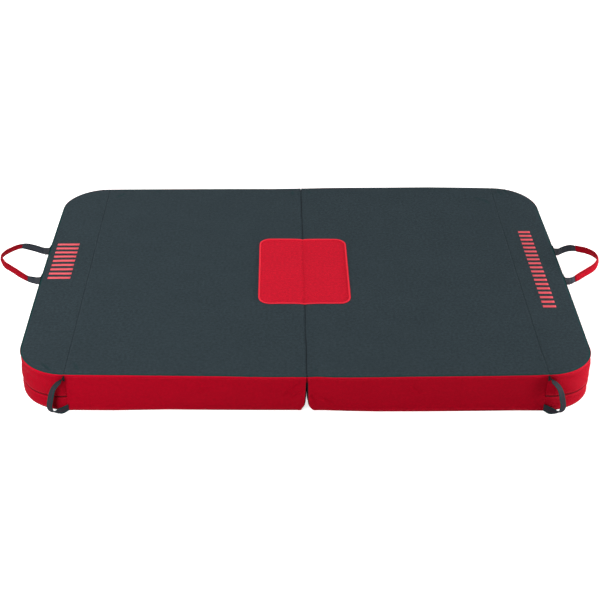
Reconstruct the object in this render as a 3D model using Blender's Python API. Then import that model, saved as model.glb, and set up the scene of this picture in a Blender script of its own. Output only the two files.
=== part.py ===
"""A hinge-fold bouldering crash pad, lying open and flat on the floor.

Metres, +Z up, origin at the centre of the underside. X runs along the open pad and crosses the
fold at x = 0, and Y runs along the fold. Each half is modelled on +X and mirrored to -X by its side,
which is 1 or -1. A half is a fabric cover round three foam layers.
"""

import math
from collections import namedtuple

import bmesh
import bpy
from mathutils import Vector

# Overall sizes.
PAD_LENGTH = 1.651
PAD_DEPTH = 1.118
SEAM_HEIGHT = 0.1235
CROWN = 0.0035
CROWN_REACH = 0.090
CORNER_RADIUS = 0.146
FABRIC = 0.001
CLEAR = 0.0003
FOAM_CLEAR = 0.0006
CUT_TOLERANCE = CLEAR / 1000
SHARP_ANGLE = math.radians(35)
LEFT, RIGHT = -1, 1

# How far the long edges bow out at the fold, and the ends at their middle.
SIDE_BOW = 0.008
END_BOW = 0.003

# How far the walls draw in at the floor, and how far each half opens at the foot of the fold.
DRAW_IN = 0.009
HINGE_GAPE = 0.021

# The zip in the end walls.
ZIP_HEIGHT = 0.050
ZIP_WIDTH = 0.008
COIL_WIDTH = 0.0048
COIL_HEIGHT = 0.0016
ZIP_BOTTOM = ZIP_HEIGHT - ZIP_WIDTH / 2
ZIP_TOP = ZIP_HEIGHT + ZIP_WIDTH / 2

# Foam layers.
TOP_FOAM_THICKNESS = 0.022
BOTTOM_FOAM_THICKNESS = 0.025

# The shallow hollow under the right half that holds the carrying straps.
STRAP_HOLLOW = 0.0125
STRAP_HOLLOW_REACH = 0.085

# Each row: share of the strip's height, then the shares of DRAW_IN by which the long walls, the corner
# seams and the end walls stand back there, then the share of HINGE_GAPE.
LOWER_STRIP_SHARES = (
    (0.00, 1.00, 0.95, 1.05, 1.000),
    (0.13, 0.72, 0.62, 0.80, 0.740),
    (0.42, 0.40, 0.56, 0.48, 0.330),
    (0.78, 0.22, 0.54, 0.45, 0.150),
    (1.00, 0.17, 0.54, 0.72, 0.120),
)
UPPER_STRIP_SHARES = (
    (0.00, 0.12, 0.54, 0.67, 0.105),
    (0.20, 0.03, 0.52, 0.16, 0.085),
    (0.50, -0.05, 0.50, -0.11, 0.060),
    (0.77, 0.05, 0.50, 0.05, 0.045),
    (0.92, 0.20, 0.46, 0.26, 0.035),
    (1.00, 0.00, 0.00, 0.00, 0.018),
)
# Share of the reach in from the edge, then share of the height reached there.
CROWN_SHARES = ((0.00, 0.00), (0.11, 0.40), (0.31, 0.72), (0.61, 0.93), (1.00, 1.00))
STRAP_HOLLOW_SHARES = ((0.00, 0.00), (0.62, 0.00), (0.75, 0.20), (0.88, 0.80), (1.00, 1.00))

SIDE_STEPS = 6
ARC_STEPS = 8
END_STEPS = 6
FRONT_SEAM = SIDE_STEPS
BACK_SEAM = SIDE_STEPS + 2 * ARC_STEPS + END_STEPS
LAST_STATION = BACK_SEAM + SIDE_STEPS

SEAM_X = PAD_LENGTH / 2 - CORNER_RADIUS
ARC_Y = PAD_DEPTH / 2 - CORNER_RADIUS
END_X = PAD_LENGTH / 2

# The sewn patch across the fold.
PATCH_HALF_WIDTH = 0.142
PATCH_DEPTH = 0.392
PATCH_CORNER = 0.036
PATCH_THICKNESS = 0.001
PATCH_CORNER_STEPS = 4

# The fold axis lies just above the highest cloth, so that the landing sides close face to face.
FOLD_Z = SEAM_HEIGHT + CROWN + CLEAR + PATCH_THICKNESS + CLEAR

# End handles: webbing on edge, rising from its anchors, with a sleeve as a grip.
HANDLE_WIDTH = 0.025
HANDLE_THICKNESS = 0.002
HANDLE_REACH = 0.128
HANDLE_HALF_SPAN = 0.091
HANDLE_Y = 0.053
HANDLE_BELOW_SEAM = 0.0135
HANDLE_Z = SEAM_HEIGHT - HANDLE_BELOW_SEAM
HANDLE_RISE = math.radians(14)
# Share of the reach and share of the half span, from the back anchor round the tip to the front one.
HANDLE_ROUTE_SHARES = (
    (0.00, 1.00),
    (0.05, 1.00),
    (0.12, 1.00),
    (0.27, 1.04),
    (0.48, 1.055),
    (0.62, 1.00),
    (0.76, 0.79),
    (0.863, 0.57),
    (0.96, 0.30),
    (1.00, -0.035),
    (0.865, -0.40),
    (0.715, -0.55),
    (0.575, -0.68),
    (0.43, -0.82),
    (0.23, -0.98),
    (0.12, -1.00),
    (0.05, -1.00),
    (0.00, -1.00),
)
HANDLE_STEPS = 2
HANDLE_END_ANGLES = (10, 38, 64)
GRIP_WIDTH = 0.031
GRIP_THICKNESS = 0.0062
GRIP_START_SHARE = 0.228
GRIP_END_SHARE = 0.918
ANCHOR_PLATE = 0.0015
ANCHOR_FLANGE = 0.022
ANCHOR_EAR = 0.0012
ANCHOR_EAR_PAST_PIVOT = 0.006

# Cross-sections of bands and sleeves: shares of half the width and of half the thickness.
BAND_SHARES = ((-1, -1), (1, -1), (1, 1), (-1, 1))
SLEEVE_OUTER_SHARES = (
    (1.0, -0.5),
    (1.0, 0.5),
    (0.6, 1.0),
    (-0.6, 1.0),
    (-1.0, 0.5),
    (-1.0, -0.5),
    (-0.6, -1.0),
    (0.6, -1.0),
)
SLEEVE_INNER_SHARES = (
    (1.0, -1.0),
    (1.0, 1.0),
    (0.6, 1.0),
    (-0.6, 1.0),
    (-1.0, 1.0),
    (-1.0, -1.0),
    (-0.6, -1.0),
    (0.6, -1.0),
)

# Webbing loops in the corner seams.
LOOP_WIDTH = 0.019
LOOP_THICKNESS = 0.0016
LOOP_REACH = 0.0525
LOOP_FOOT = 0.0115
LOOP_BELOW_SEAM = 0.0175
LOOP_HEIGHT = SEAM_HEIGHT - LOOP_BELOW_SEAM - LOOP_FOOT
LOOP_PROUD = 0.013
# Share of the reach, share of the height above the foot and share of the stand-off.
LOOP_ROUTE_SHARES = (
    (0.00, 1.000, 0.00),
    (0.20, 0.995, 0.20),
    (0.55, 0.900, 0.60),
    (0.86, 0.680, 0.95),
    (1.00, 0.400, 1.00),
    (0.96, 0.150, 0.90),
    (0.70, 0.015, 0.62),
    (0.35, 0.000, 0.28),
    (0.00, 0.025, 0.00),
)
LOOP_STEPS = 2

# Zip sliders and their pulls.
SLIDER_LENGTH = 0.012
SLIDER_HEIGHT = 0.009
SLIDER_THICKNESS = 0.0035
SLIDER_CHAMFER = 0.0012
SLIDER_SETBACK = 0.053
SLIDER_Y = SLIDER_SETBACK - ARC_Y
PULL_WIDTH = 0.008
PULL_LENGTH = 0.030
PULL_THICKNESS = 0.0012
PULL_HOLE = 0.003
PULL_STEPS = 8

# Webbing loops on the left end wall that take the closure hooks.
CATCH_WIDTH = 0.027
CATCH_HEIGHT = 0.032
CATCH_ABOVE_ZIP = 0.006
CATCH_FOOT = ZIP_TOP + CATCH_ABOVE_ZIP
CATCH_PROUD = 0.0035
CATCH_Y = 0.26
CATCH_STEPS = 8

# Straps and hardware of the carrying harness, which lie in the hollow of the right half.
WEB_THICKNESS = 0.0014
HARNESS_X = END_X / 2
HARNESS_SETBACK = 0.129
HARDWARE_Z = 0.0066
LUG_THICKNESS = 0.005
WRAP_CLEAR = 0.0006
WRAP_CUT = 0.001
WRAP_LEAD = 0.018
WRAP_TAIL = 0.032

SHOULDER_WIDTH = 0.068
SHOULDER_THICKNESS = 0.008
SHOULDER_TOP_Y = PAD_DEPTH / 2 - HARNESS_SETBACK
SHOULDER_TOP_X = 0.085
SHOULDER_LOW_X = 0.125
SHOULDER_STEPS = 14
# Fullness at the strap's two ends, and the share of its length over which it fills out.
SHOULDER_END_SHARE = 0.35
SHOULDER_TAPER_SHARE = 0.2
TONGUE_WIDTH = 0.024

LOCK_LENGTH = 0.026
LOCK_WIDTH = 0.034
LOCK_BAR = 0.0035
LOCK_SLOT = 0.0055
LOCK_Y = -0.008
TONGUE_LENGTH = 0.012
SHOULDER_END_Y = LOCK_Y + LOCK_LENGTH + TONGUE_LENGTH
LOWER_WEB_WIDTH = 0.024

CLOSURE_WIDTH = 0.025
CLOSURE_PAST_SEAM = 0.0105
CLOSURE_X = SEAM_X + CLOSURE_PAST_SEAM
CLOSURE_SETBACK = 0.119
CLOSURE_ANCHOR_Y = PAD_DEPTH / 2 - CLOSURE_SETBACK
CLOSURE_LENGTH = 0.250

BELT_WIDTH = 0.038
BELT_SETBACK = 0.159
BELT_Y = BELT_SETBACK - PAD_DEPTH / 2
BELT_TO_CLOSURE = 0.039
BELT_ANCHOR = CLOSURE_X - CLOSURE_WIDTH / 2 - BELT_TO_CLOSURE - HARNESS_X
LOWER_ANCHOR_PAST_BELT = 0.080
LOWER_ANCHOR_Y = BELT_Y + LOWER_ANCHOR_PAST_BELT
BUCKLE_WIDTH = 0.050
BUCKLE_THICKNESS = 0.0096
BUCKLE_BODY = 0.024
BUCKLE_LUG = 0.0115
BUCKLE_BAR = 0.004
BUCKLE_SLOT = 0.005
BUCKLE_WALL = 0.0035
BUCKLE_FLOOR = 0.0018
BUCKLE_CHAMFER = 0.0015
BUCKLE_HEAD = 0.008
PRONG_LENGTH = 0.019
PRONG_WIDTH = 0.0062
PRONG_GUIDE_WIDTH = 0.006
PRONG_TIP_SHARE = 0.33
WINDOW_LENGTH = 0.010
WINDOW_SETBACK = 0.006

HOOK_WIDTH = 0.034
HOOK_LENGTH = 0.026
HOOK_THICKNESS = 0.0025
HOOK_BAR = 0.0025
HOOK_SLOT = 0.0055
HOOK_THROAT = 0.0035
HOOK_MOUTH_SETBACK = 0.0045
HOOK_CORNER = 0.004

CUT_OVERRUN = 0.004


def clear_scene():
    for old in list(bpy.data.objects):
        bpy.data.objects.remove(old, do_unlink=True)


MATERIALS = {}


def material(name, colour, roughness, metallic=0.0):
    """A Principled material, made once for each name."""
    if name not in MATERIALS:
        made = bpy.data.materials.new(name)
        made.use_nodes = True
        shader = made.node_tree.nodes["Principled BSDF"]
        shader.inputs["Base Color"].default_value = (*colour, 1.0)
        shader.inputs["Roughness"].default_value = roughness
        shader.inputs["Metallic"].default_value = metallic
        MATERIALS[name] = made
    return MATERIALS[name]


SLATE_FABRIC = ("slate_fabric", (0.037, 0.051, 0.061), 0.85)
RED_FABRIC = ("red_fabric", (0.36, 0.004, 0.014), 0.80)
PATCH_FABRIC = ("patch_fabric", (0.60, 0.014, 0.032), 0.70)
GRIP_FABRIC = ("grip_fabric", (0.33, 0.003, 0.010), 0.75)
WEBBING = ("webbing", (0.026, 0.030, 0.038), 0.80)
CLOSED_FOAM = ("closed_cell_foam", (0.20, 0.21, 0.22), 0.90)
OPEN_FOAM = ("open_cell_foam", (0.62, 0.58, 0.45), 0.95)
ZIP_COIL = ("zip_coil", (0.020, 0.020, 0.022), 0.50)
PLASTIC = ("black_plastic", (0.018, 0.018, 0.020), 0.45)
ALUMINIUM = ("aluminium", (0.62, 0.63, 0.65), 0.30, 1.0)

PIVOTS = {}


def pivot(name, place, parent=None):
    """An empty on a joint's axis, which carries the pieces that turn or slide there."""
    empty = bpy.data.objects.new(name, None)
    bpy.context.collection.objects.link(empty)
    start = PIVOTS[parent][1] if parent else Vector((0, 0, 0))
    empty.parent = PIVOTS[parent][0] if parent else None
    empty.location = Vector(place) - start
    PIVOTS[name] = (empty, Vector(place))


def hang(made, body):
    """Parents an object in world coordinates to a pivot, where it stands."""
    empty, place = PIVOTS[body]
    for vertex in made.data.vertices:
        vertex.co -= place
    made.parent = empty


def finish(name, bm, finish_values, body, smooth=True):
    """Turns a bmesh in world coordinates into a named object that hangs on its pivot."""
    bmesh.ops.triangulate(bm, faces=bm.faces[:], quad_method="FIXED", ngon_method="BEAUTY")
    bmesh.ops.recalc_face_normals(bm, faces=bm.faces[:])
    mesh = bpy.data.meshes.new(name)
    bm.to_mesh(mesh)
    bm.free()
    made = bpy.data.objects.new(name, mesh)
    bpy.context.collection.objects.link(made)
    mesh.materials.append(material(*finish_values))
    if smooth:
        mesh.shade_smooth()
        mesh.set_sharp_from_angle(angle=SHARP_ANGLE)
    hang(made, body)
    return made


def between(rows, at):
    """The values beside a height or a share in a table, on straight lines between its rows."""
    if at <= rows[0][0]:
        return rows[0][1:]
    for low, high in zip(rows, rows[1:]):
        if at <= high[0]:
            part = (at - low[0]) / (high[0] - low[0])
            return tuple(a + (b - a) * part for a, b in zip(low[1:], high[1:]))
    return rows[-1][1:]


Level = namedtuple("Level", "long_wall corner_seam end_wall gape")


def level_rows():
    """Rows of height, stand-back of the long walls, of the corner seams and of the ends, and gape."""
    made = []
    strips = ((0, ZIP_BOTTOM, LOWER_STRIP_SHARES), (ZIP_TOP, SEAM_HEIGHT, UPPER_STRIP_SHARES))
    for low, high, rows in strips:
        for height, long_wall, corner, end, gape in rows:
            z = low + (high - low) * height
            made.append((z, long_wall * DRAW_IN, corner * DRAW_IN, end * DRAW_IN, gape * HINGE_GAPE))
    return made


LEVELS = level_rows()


def level(z):
    return Level(*between(LEVELS, z))


def heights_between(low, high):
    """Both heights and every level of the table that lies between them."""
    return [low] + [row[0] for row in LEVELS if low < row[0] < high] + [high]


def side_bow(x):
    return SIDE_BOW * math.cos(math.pi / 2 * min(1.0, abs(x) / SEAM_X))


def end_bow(y, z):
    """The ends bow out above the zip only, which itself runs straight."""
    rise = UPPER_STRIP_SHARES[1][0] * (SEAM_HEIGHT - ZIP_TOP)
    above_zip = min(1.0, max(0.0, (z - ZIP_TOP) / rise))
    return END_BOW * above_zip * math.cos(math.pi / 2 * min(1.0, abs(y) / ARC_Y))


def end_wall_x(y, z):
    return END_X - level(z).end_wall + end_bow(y, z)


def half_outline(z, inset):
    """Plan points of a half at a height, moved in, from the front of the fold round to its back."""
    here = level(z)
    start = here.gape + inset
    front = []
    for k in range(SIDE_STEPS + 1):
        x = start + (SEAM_X - start) * k / SIDE_STEPS
        stand_back = here.corner_seam if k == SIDE_STEPS else here.long_wall
        front.append((x, stand_back + inset - PAD_DEPTH / 2 - side_bow(x)))
    radius = CORNER_RADIUS - here.end_wall - inset
    for k in range(1, ARC_STEPS):
        angle = -math.pi / 2 * (1 - k / ARC_STEPS)
        front.append((SEAM_X + radius * math.cos(angle), -ARC_Y + radius * math.sin(angle)))
    for k in range(END_STEPS // 2):
        y = -ARC_Y * (1 - 2 * k / END_STEPS)
        front.append((SEAM_X + radius + end_bow(y, z), y))
    middle = (SEAM_X + radius + end_bow(0, z), 0)
    back = [(x, -y) for x, y in reversed(front)]
    return front + [middle] + back


def ring(side, plan_height, inset, z):
    return [(side * x, y, z) for x, y in half_outline(plan_height, inset)]


def add_loops(bm, loops):
    return [[bm.verts.new(point) for point in loop] for loop in loops]


def skin(bm, low, high, closed):
    """Quads between two rows of vertices."""
    count = len(low)
    for k in range(count if closed else count - 1):
        n = (k + 1) % count
        bm.faces.new((low[k], low[n], high[n], high[k]))


def loft(loops):
    """A closed bmesh through closed loops, with a face over the first and the last."""
    bm = bmesh.new()
    rows = add_loops(bm, loops)
    for low, high in zip(rows, rows[1:]):
        skin(bm, low, high, True)
    bm.faces.new(rows[0])
    bm.faces.new(rows[-1])
    return bm


def sheet(outer, inner):
    """A closed bmesh of one thickness between two open grids of points."""
    bm = bmesh.new()
    faces = [add_loops(bm, grid) for grid in (outer, inner)]
    for rows in faces:
        for low, high in zip(rows, rows[1:]):
            skin(bm, low, high, False)
    skin(bm, faces[0][0], faces[1][0], False)
    skin(bm, faces[0][-1], faces[1][-1], False)
    for edge in (0, -1):
        skin(bm, [row[edge] for row in faces[0]], [row[edge] for row in faces[1]], False)
    return bm


def tube(outer, inner):
    """A closed bmesh of a tube: outer loops, inner loops and a flat ring at each end."""
    bm = bmesh.new()
    walls = [add_loops(bm, loops) for loops in (outer, inner)]
    for rows in walls:
        for low, high in zip(rows, rows[1:]):
            skin(bm, low, high, True)
    skin(bm, walls[0][0], walls[1][0], True)
    skin(bm, walls[0][-1], walls[1][-1], True)
    return bm


def extruded(outline, direction):
    """A closed bmesh of a flat outline pushed along a direction."""
    bm = bmesh.new()
    face = bm.faces.new([bm.verts.new(point) for point in outline])
    made = bmesh.ops.extrude_face_region(bm, geom=[face])
    moved = [item for item in made["geom"] if isinstance(item, bmesh.types.BMVert)]
    bmesh.ops.translate(bm, verts=moved, vec=direction)
    return bm


def cut(target, name, low, high):
    """Cuts a box, given by two corners in world coordinates, out of an object."""
    bm = bmesh.new()
    centre = (Vector(low) + Vector(high)) / 2
    size = [abs(b - a) for a, b in zip(low, high)]
    bmesh.ops.create_cube(bm, size=1.0)
    bmesh.ops.scale(bm, verts=bm.verts[:], vec=size)
    bmesh.ops.translate(bm, verts=bm.verts[:], vec=centre)
    combine(target, name, bm, "DIFFERENCE")


def combine(target, name, bm, operation):
    """Adds a Boolean modifier whose second shape is hidden and moves with the first."""
    bmesh.ops.recalc_face_normals(bm, faces=bm.faces[:])
    mesh = bpy.data.meshes.new(name)
    bm.to_mesh(mesh)
    bm.free()
    cutter = bpy.data.objects.new(name, mesh)
    bpy.context.collection.objects.link(cutter)
    cutter.hide_render = True
    cutter.display_type = "WIRE"
    hang(cutter, target.parent.name)
    modifier = target.modifiers.new(name, "BOOLEAN")
    modifier.operation = operation
    modifier.solver = "EXACT"
    modifier.object = cutter


def smooth_route(points, steps):
    """Points on a Catmull-Rom curve through the given points."""
    points = [Vector(point) for point in points]
    padded = [points[0] * 2 - points[1]] + points + [points[-1] * 2 - points[-2]]
    route = []
    for k in range(1, len(padded) - 2):
        before, start, end, after = padded[k - 1 : k + 3]
        for step in range(steps):
            t = step / steps
            route.append(
                0.5
                * (
                    2 * start
                    + (end - before) * t
                    + (2 * before - 5 * start + 4 * end - after) * t**2
                    + (3 * start - 3 * end + after - before) * t**3
                )
            )
    route.append(points[-1])
    return route


def tangents(route):
    """The direction of travel at each point of a route."""
    ways = []
    for k, here in enumerate(route):
        before = route[max(k - 1, 0)]
        after = route[min(k + 1, len(route) - 1)]
        ways.append((after - before).normalized())
    return ways


def band_section(centre, across, normal, width, thickness, shares=BAND_SHARES):
    """The corners of a band or a sleeve at one point of its way."""
    half_width, half_thickness = width / 2, thickness / 2
    return [centre + across * (a * half_width) + normal * (b * half_thickness) for a, b in shares]


def side_name(side):
    return "right" if side == RIGHT else "left"


# Foam and cover.


def crown_height(inset):
    return SEAM_HEIGHT + CROWN * between(CROWN_SHARES, inset / CROWN_REACH)[0]


def crown_rings(side, inset, drop):
    """Rings over the crowned top, from the edge inwards, a drop below the cover's face."""
    insets = [inset] + [share * CROWN_REACH for share, _ in CROWN_SHARES if share * CROWN_REACH > inset]
    return [ring(side, SEAM_HEIGHT - drop, d, crown_height(d) - drop) for d in insets]


def hollow_height(side, inset):
    """The underside is flat under the left half, and hollow under the right."""
    if side == LEFT:
        return 0
    return STRAP_HOLLOW * between(STRAP_HOLLOW_SHARES, inset / STRAP_HOLLOW_REACH)[0]


def hollow_rings(side, inset, lift):
    """Rings over the underside, from the edge inwards, a lift above the cover's face."""
    insets = [inset]
    if side == RIGHT:
        insets += [s * STRAP_HOLLOW_REACH for s, _ in STRAP_HOLLOW_SHARES if s * STRAP_HOLLOW_REACH > inset]
    return [ring(side, 0, d, hollow_height(side, d) + lift) for d in insets]


FOAM_INSET = FABRIC + FOAM_CLEAR
FOAM_FLOOR = FABRIC + CLEAR
BOTTOM_FOAM_TOP = FOAM_FLOOR + BOTTOM_FOAM_THICKNESS
TOP_FOAM_BASE = SEAM_HEIGHT - FABRIC - CLEAR - TOP_FOAM_THICKNESS


def foam_layers(side):
    name, body = side_name(side), f"{side_name(side)}_half"
    wall = [ring(side, z, FOAM_INSET, z) for z in heights_between(TOP_FOAM_BASE, SEAM_HEIGHT)[:-1]]
    crown = crown_rings(side, FOAM_INSET, FABRIC + CLEAR)
    finish(f"top_foam_{name}", loft(wall + crown), CLOSED_FOAM, body)
    low, high = BOTTOM_FOAM_TOP + CLEAR, TOP_FOAM_BASE - CLEAR
    wall = [ring(side, z, FOAM_INSET, z) for z in heights_between(low, high)]
    finish(f"core_foam_{name}", loft(wall), OPEN_FOAM, body)
    under = hollow_rings(side, FOAM_INSET, FOAM_FLOOR)[::-1]
    wall = [ring(side, z, FOAM_INSET, z) for z in heights_between(FOAM_FLOOR, BOTTOM_FOAM_TOP)[1:]]
    finish(f"bottom_foam_{name}", loft(under + wall), CLOSED_FOAM, body)


def keep_beyond(bm, x, side, outer):
    """Cuts a closed bmesh at a plane across X, keeps one part and closes it again."""
    everything = bm.verts[:] + bm.edges[:] + bm.faces[:]
    bmesh.ops.bisect_plane(
        bm,
        geom=everything,
        dist=CUT_TOLERANCE,
        plane_co=(side * x, 0, 0),
        plane_no=(side, 0, 0),
        clear_inner=outer,
        clear_outer=not outer,
    )
    rim = [edge for edge in bm.edges if edge.is_boundary]
    bmesh.ops.holes_fill(bm, edges=rim, sides=0)
    return bm


def top_panels(side):
    """The landing side's main panel, and the narrow end panel sewn to it."""
    name, body = side_name(side), f"{side_name(side)}_half"
    loops = crown_rings(side, 0, FABRIC)[::-1] + crown_rings(side, 0, 0)
    main = keep_beyond(loft(loops), SEAM_X - CLEAR / 2, side, False)
    finish(f"top_panel_{name}", main, SLATE_FABRIC, body)
    end = keep_beyond(loft(loops), SEAM_X + CLEAR / 2, side, True)
    finish(f"top_end_panel_{name}", end, SLATE_FABRIC, body)


def bottom_panel(side):
    name, body = side_name(side), f"{side_name(side)}_half"
    loops = hollow_rings(side, 0, 0)[::-1] + hollow_rings(side, 0, FABRIC)
    finish(f"bottom_panel_{name}", loft(loops), SLATE_FABRIC, body)


def trimmed(points, trim_first, trim_last):
    """A row of plan points with its ends drawn in along the row."""
    points = [Vector(point) for point in points]
    first = points[0] + (points[1] - points[0]).normalized() * trim_first
    last = points[-1] + (points[-2] - points[-1]).normalized() * trim_last
    return [first] + points[1:-1] + [last]


def wall_strip(name, side, stations, heights, trims, finish_values):
    """A strip of wall fabric between two stations of the outline and two heights."""
    first, last = stations
    grids = []
    for inset in (0, FABRIC):
        grid = []
        for z in heights_between(*heights):
            row = trimmed(half_outline(z, inset)[first : last + 1], *trims)
            grid.append([(side * p.x, p.y, z) for p in row])
        grids.append(grid)
    finish(name, sheet(*grids), finish_values, f"{side_name(side)}_half")


WALL_FOOT = FABRIC + CLEAR
WALL_HEAD = SEAM_HEIGHT - FABRIC - CLEAR


def walls(side):
    name = side_name(side)
    half = CLEAR / 2
    full = (WALL_FOOT, WALL_HEAD)
    wall_strip(f"front_wall_{name}", side, (0, FRONT_SEAM), full, (0, half), RED_FABRIC)
    wall_strip(f"back_wall_{name}", side, (BACK_SEAM, LAST_STATION), full, (half, 0), RED_FABRIC)
    ends = (FRONT_SEAM, BACK_SEAM)
    lower = (WALL_FOOT, ZIP_BOTTOM - CLEAR)
    upper = (ZIP_TOP + CLEAR, WALL_HEAD)
    wall_strip(f"end_wall_lower_{name}", side, ends, lower, (half, half), RED_FABRIC)
    wall_strip(f"end_wall_upper_{name}", side, ends, upper, (half, half), RED_FABRIC)


def fold_wall(side):
    """The dark wall inside the fold, which opens towards the floor."""
    grids = []
    for inset in (0, FABRIC):
        grid = []
        for z in heights_between(WALL_FOOT, WALL_HEAD):
            reach = -half_outline(z, FABRIC)[0][1] - CLEAR
            x = level(z).gape + inset
            grid.append([(side * x, -reach, z), (side * x, reach, z)])
        grids.append(grid)
    name = side_name(side)
    finish(f"fold_wall_{name}", sheet(*grids), SLATE_FABRIC, f"{name}_half")


def zip_chain(side):
    """Tape with its closed coil, let into the slot between the two strips of the end wall."""
    low, high = ZIP_BOTTOM, ZIP_TOP
    coil_low, coil_high = ZIP_HEIGHT - COIL_WIDTH / 2, ZIP_HEIGHT + COIL_WIDTH / 2
    slope = COIL_HEIGHT / 2
    section = (
        (FABRIC, low),
        (0, low),
        (0, coil_low),
        (-COIL_HEIGHT, coil_low + slope),
        (-COIL_HEIGHT, coil_high - slope),
        (0, coil_high),
        (0, high),
        (FABRIC, high),
    )
    rows = []
    for inset, z in section:
        row = trimmed(half_outline(z, inset)[FRONT_SEAM : BACK_SEAM + 1], CLEAR / 2, CLEAR / 2)
        rows.append([(side * p.x, p.y, z) for p in row])
    loops = [list(loop) for loop in zip(*rows)]
    name = side_name(side)
    finish(f"zip_chain_{name}", loft(loops), ZIP_COIL, f"{name}_half")


def zip_slider(side):
    """The slider on its coil, and the pull that hangs from it."""
    name = side_name(side)
    body = f"zip_{name}"
    zip_face = END_X - level(ZIP_TOP).end_wall
    back = zip_face + COIL_HEIGHT + CLEAR
    pivot(body, (side * back, SLIDER_Y, ZIP_HEIGHT), f"{name}_half")
    front = back + SLIDER_THICKNESS
    half_height, half_length = SLIDER_HEIGHT / 2, SLIDER_LENGTH / 2
    profile = (
        (back, -half_height),
        (front - SLIDER_CHAMFER, -half_height),
        (front, -half_height + SLIDER_CHAMFER),
        (front, half_height - SLIDER_CHAMFER),
        (front - SLIDER_CHAMFER, half_height),
        (back, half_height),
    )
    outline = [(side * x, SLIDER_Y - half_length, ZIP_HEIGHT + z) for x, z in profile]
    finish(f"zip_slider_{name}", extruded(outline, (0, SLIDER_LENGTH, 0)), ZIP_COIL, body, False)
    pull_x = front + CLEAR
    half = PULL_WIDTH / 2
    top = ZIP_HEIGHT + PULL_HOLE
    foot = top - PULL_LENGTH + half
    outline = [(side * pull_x, SLIDER_Y - half, top), (side * pull_x, SLIDER_Y + half, top)]
    for k in range(PULL_STEPS + 1):
        angle = math.pi * k / PULL_STEPS
        y = SLIDER_Y + half * math.cos(angle)
        outline.append((side * pull_x, y, foot - half * math.sin(angle)))
    pull = extruded(outline, (side * PULL_THICKNESS, 0, 0))
    made = finish(f"zip_pull_{name}", pull, ZIP_COIL, body, False)
    low = (side * (pull_x - CUT_OVERRUN), SLIDER_Y - PULL_HOLE / 2, foot - PULL_HOLE / 2)
    high = (side * (pull_x + CUT_OVERRUN), SLIDER_Y + PULL_HOLE / 2, foot + PULL_HOLE / 2)
    cut(made, f"zip_pull_hole_{name}", low, high)


def patch(side):
    """One half of the sewn patch, laid over the crowned top and meeting the other half at the fold."""
    bm = bmesh.new()
    edge = level(SEAM_HEIGHT).gape
    half_depth = PATCH_DEPTH / 2
    centre_x, centre_y = PATCH_HALF_WIDTH - PATCH_CORNER, half_depth - PATCH_CORNER
    outline = [(edge, -half_depth)]
    for turn, middle in ((-math.pi / 2, -centre_y), (0, centre_y)):
        for k in range(PATCH_CORNER_STEPS + 1):
            angle = turn + math.pi / 2 * k / PATCH_CORNER_STEPS
            x = centre_x + PATCH_CORNER * math.cos(angle)
            outline.append((x, middle + PATCH_CORNER * math.sin(angle)))
    outline.append((edge, half_depth))
    bm.faces.new([bm.verts.new((side * x, y, 0)) for x, y in outline])
    for share, _ in CROWN_SHARES[1:]:
        everything = bm.verts[:] + bm.edges[:] + bm.faces[:]
        at = (side * (edge + share * CROWN_REACH), 0, 0)
        bmesh.ops.bisect_plane(bm, geom=everything, dist=CUT_TOLERANCE, plane_co=at, plane_no=(1, 0, 0))
    for vertex in bm.verts:
        vertex.co.z = crown_height(abs(vertex.co.x) - edge) + CLEAR
    flat = bm.faces[:]
    made = bmesh.ops.extrude_face_region(bm, geom=flat)
    moved = [item for item in made["geom"] if isinstance(item, bmesh.types.BMVert)]
    bmesh.ops.translate(bm, verts=moved, vec=(0, 0, PATCH_THICKNESS))
    name = side_name(side)
    finish(f"patch_{name}", bm, PATCH_FABRIC, f"{name}_half")


# Handles and loops.

ANCHOR_BACK = max(end_wall_x(HANDLE_Y, z) for z in (HANDLE_Z - HANDLE_WIDTH / 2, SEAM_HEIGHT)) + CLEAR
HANDLE_PIVOT_X = ANCHOR_BACK + ANCHOR_PLATE + CLEAR + HANDLE_WIDTH / 2
HANDLE_LEG_Y = HANDLE_HALF_SPAN * HANDLE_ROUTE_SHARES[0][1]


def handle_route():
    """Distance out and offset along the wall for each point, from one anchor to the other."""
    points = [(HANDLE_REACH * u, HANDLE_HALF_SPAN * v, 0) for u, v in HANDLE_ROUTE_SHARES]
    return smooth_route(points, HANDLE_STEPS)


def handle_frame(side, flat_point):
    """World place of a point given in the rising plane of a handle."""
    x = HANDLE_PIVOT_X + flat_point.x * math.cos(HANDLE_RISE)
    z = HANDLE_Z + flat_point.x * math.sin(HANDLE_RISE)
    return Vector((side * x, HANDLE_Y + flat_point.y, z))


def handle_sections(side, width, thickness, shares):
    """Cross-sections of a band or a sleeve along the handle's route, and their distances along it."""
    route = handle_route()
    across = Vector((-side * math.sin(HANDLE_RISE), 0, math.cos(HANDLE_RISE)))
    sections, lengths, travelled = [], [], 0
    for k, (here, way) in enumerate(zip(route, tangents(route))):
        travelled += (here - route[k - 1]).length if k else 0
        centre = handle_frame(side, here)
        ahead = (handle_frame(side, here + way) - centre).normalized()
        normal = across.cross(ahead)
        sections.append(band_section(centre, across, normal, width, thickness, shares))
        lengths.append(travelled)
    return sections, lengths


def rounded_ends(side):
    """Sections that round the two ends of the webbing about the pivot, first and last."""
    across = Vector((-side * math.sin(HANDLE_RISE), 0, math.cos(HANDLE_RISE)))
    ends = []
    for travel in (1, -1):
        normal = Vector((0, side * travel, 0))
        sections = []
        for degrees in HANDLE_END_ANGLES:
            angle = math.radians(degrees)
            back = -HANDLE_WIDTH / 2 * math.cos(angle)
            centre = handle_frame(side, Vector((back, travel * HANDLE_LEG_Y, 0)))
            width = HANDLE_WIDTH * math.sin(angle)
            sections.append(band_section(centre, across, normal, width, HANDLE_THICKNESS))
        ends.append(sections)
    return ends[0], ends[1][::-1]


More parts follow.
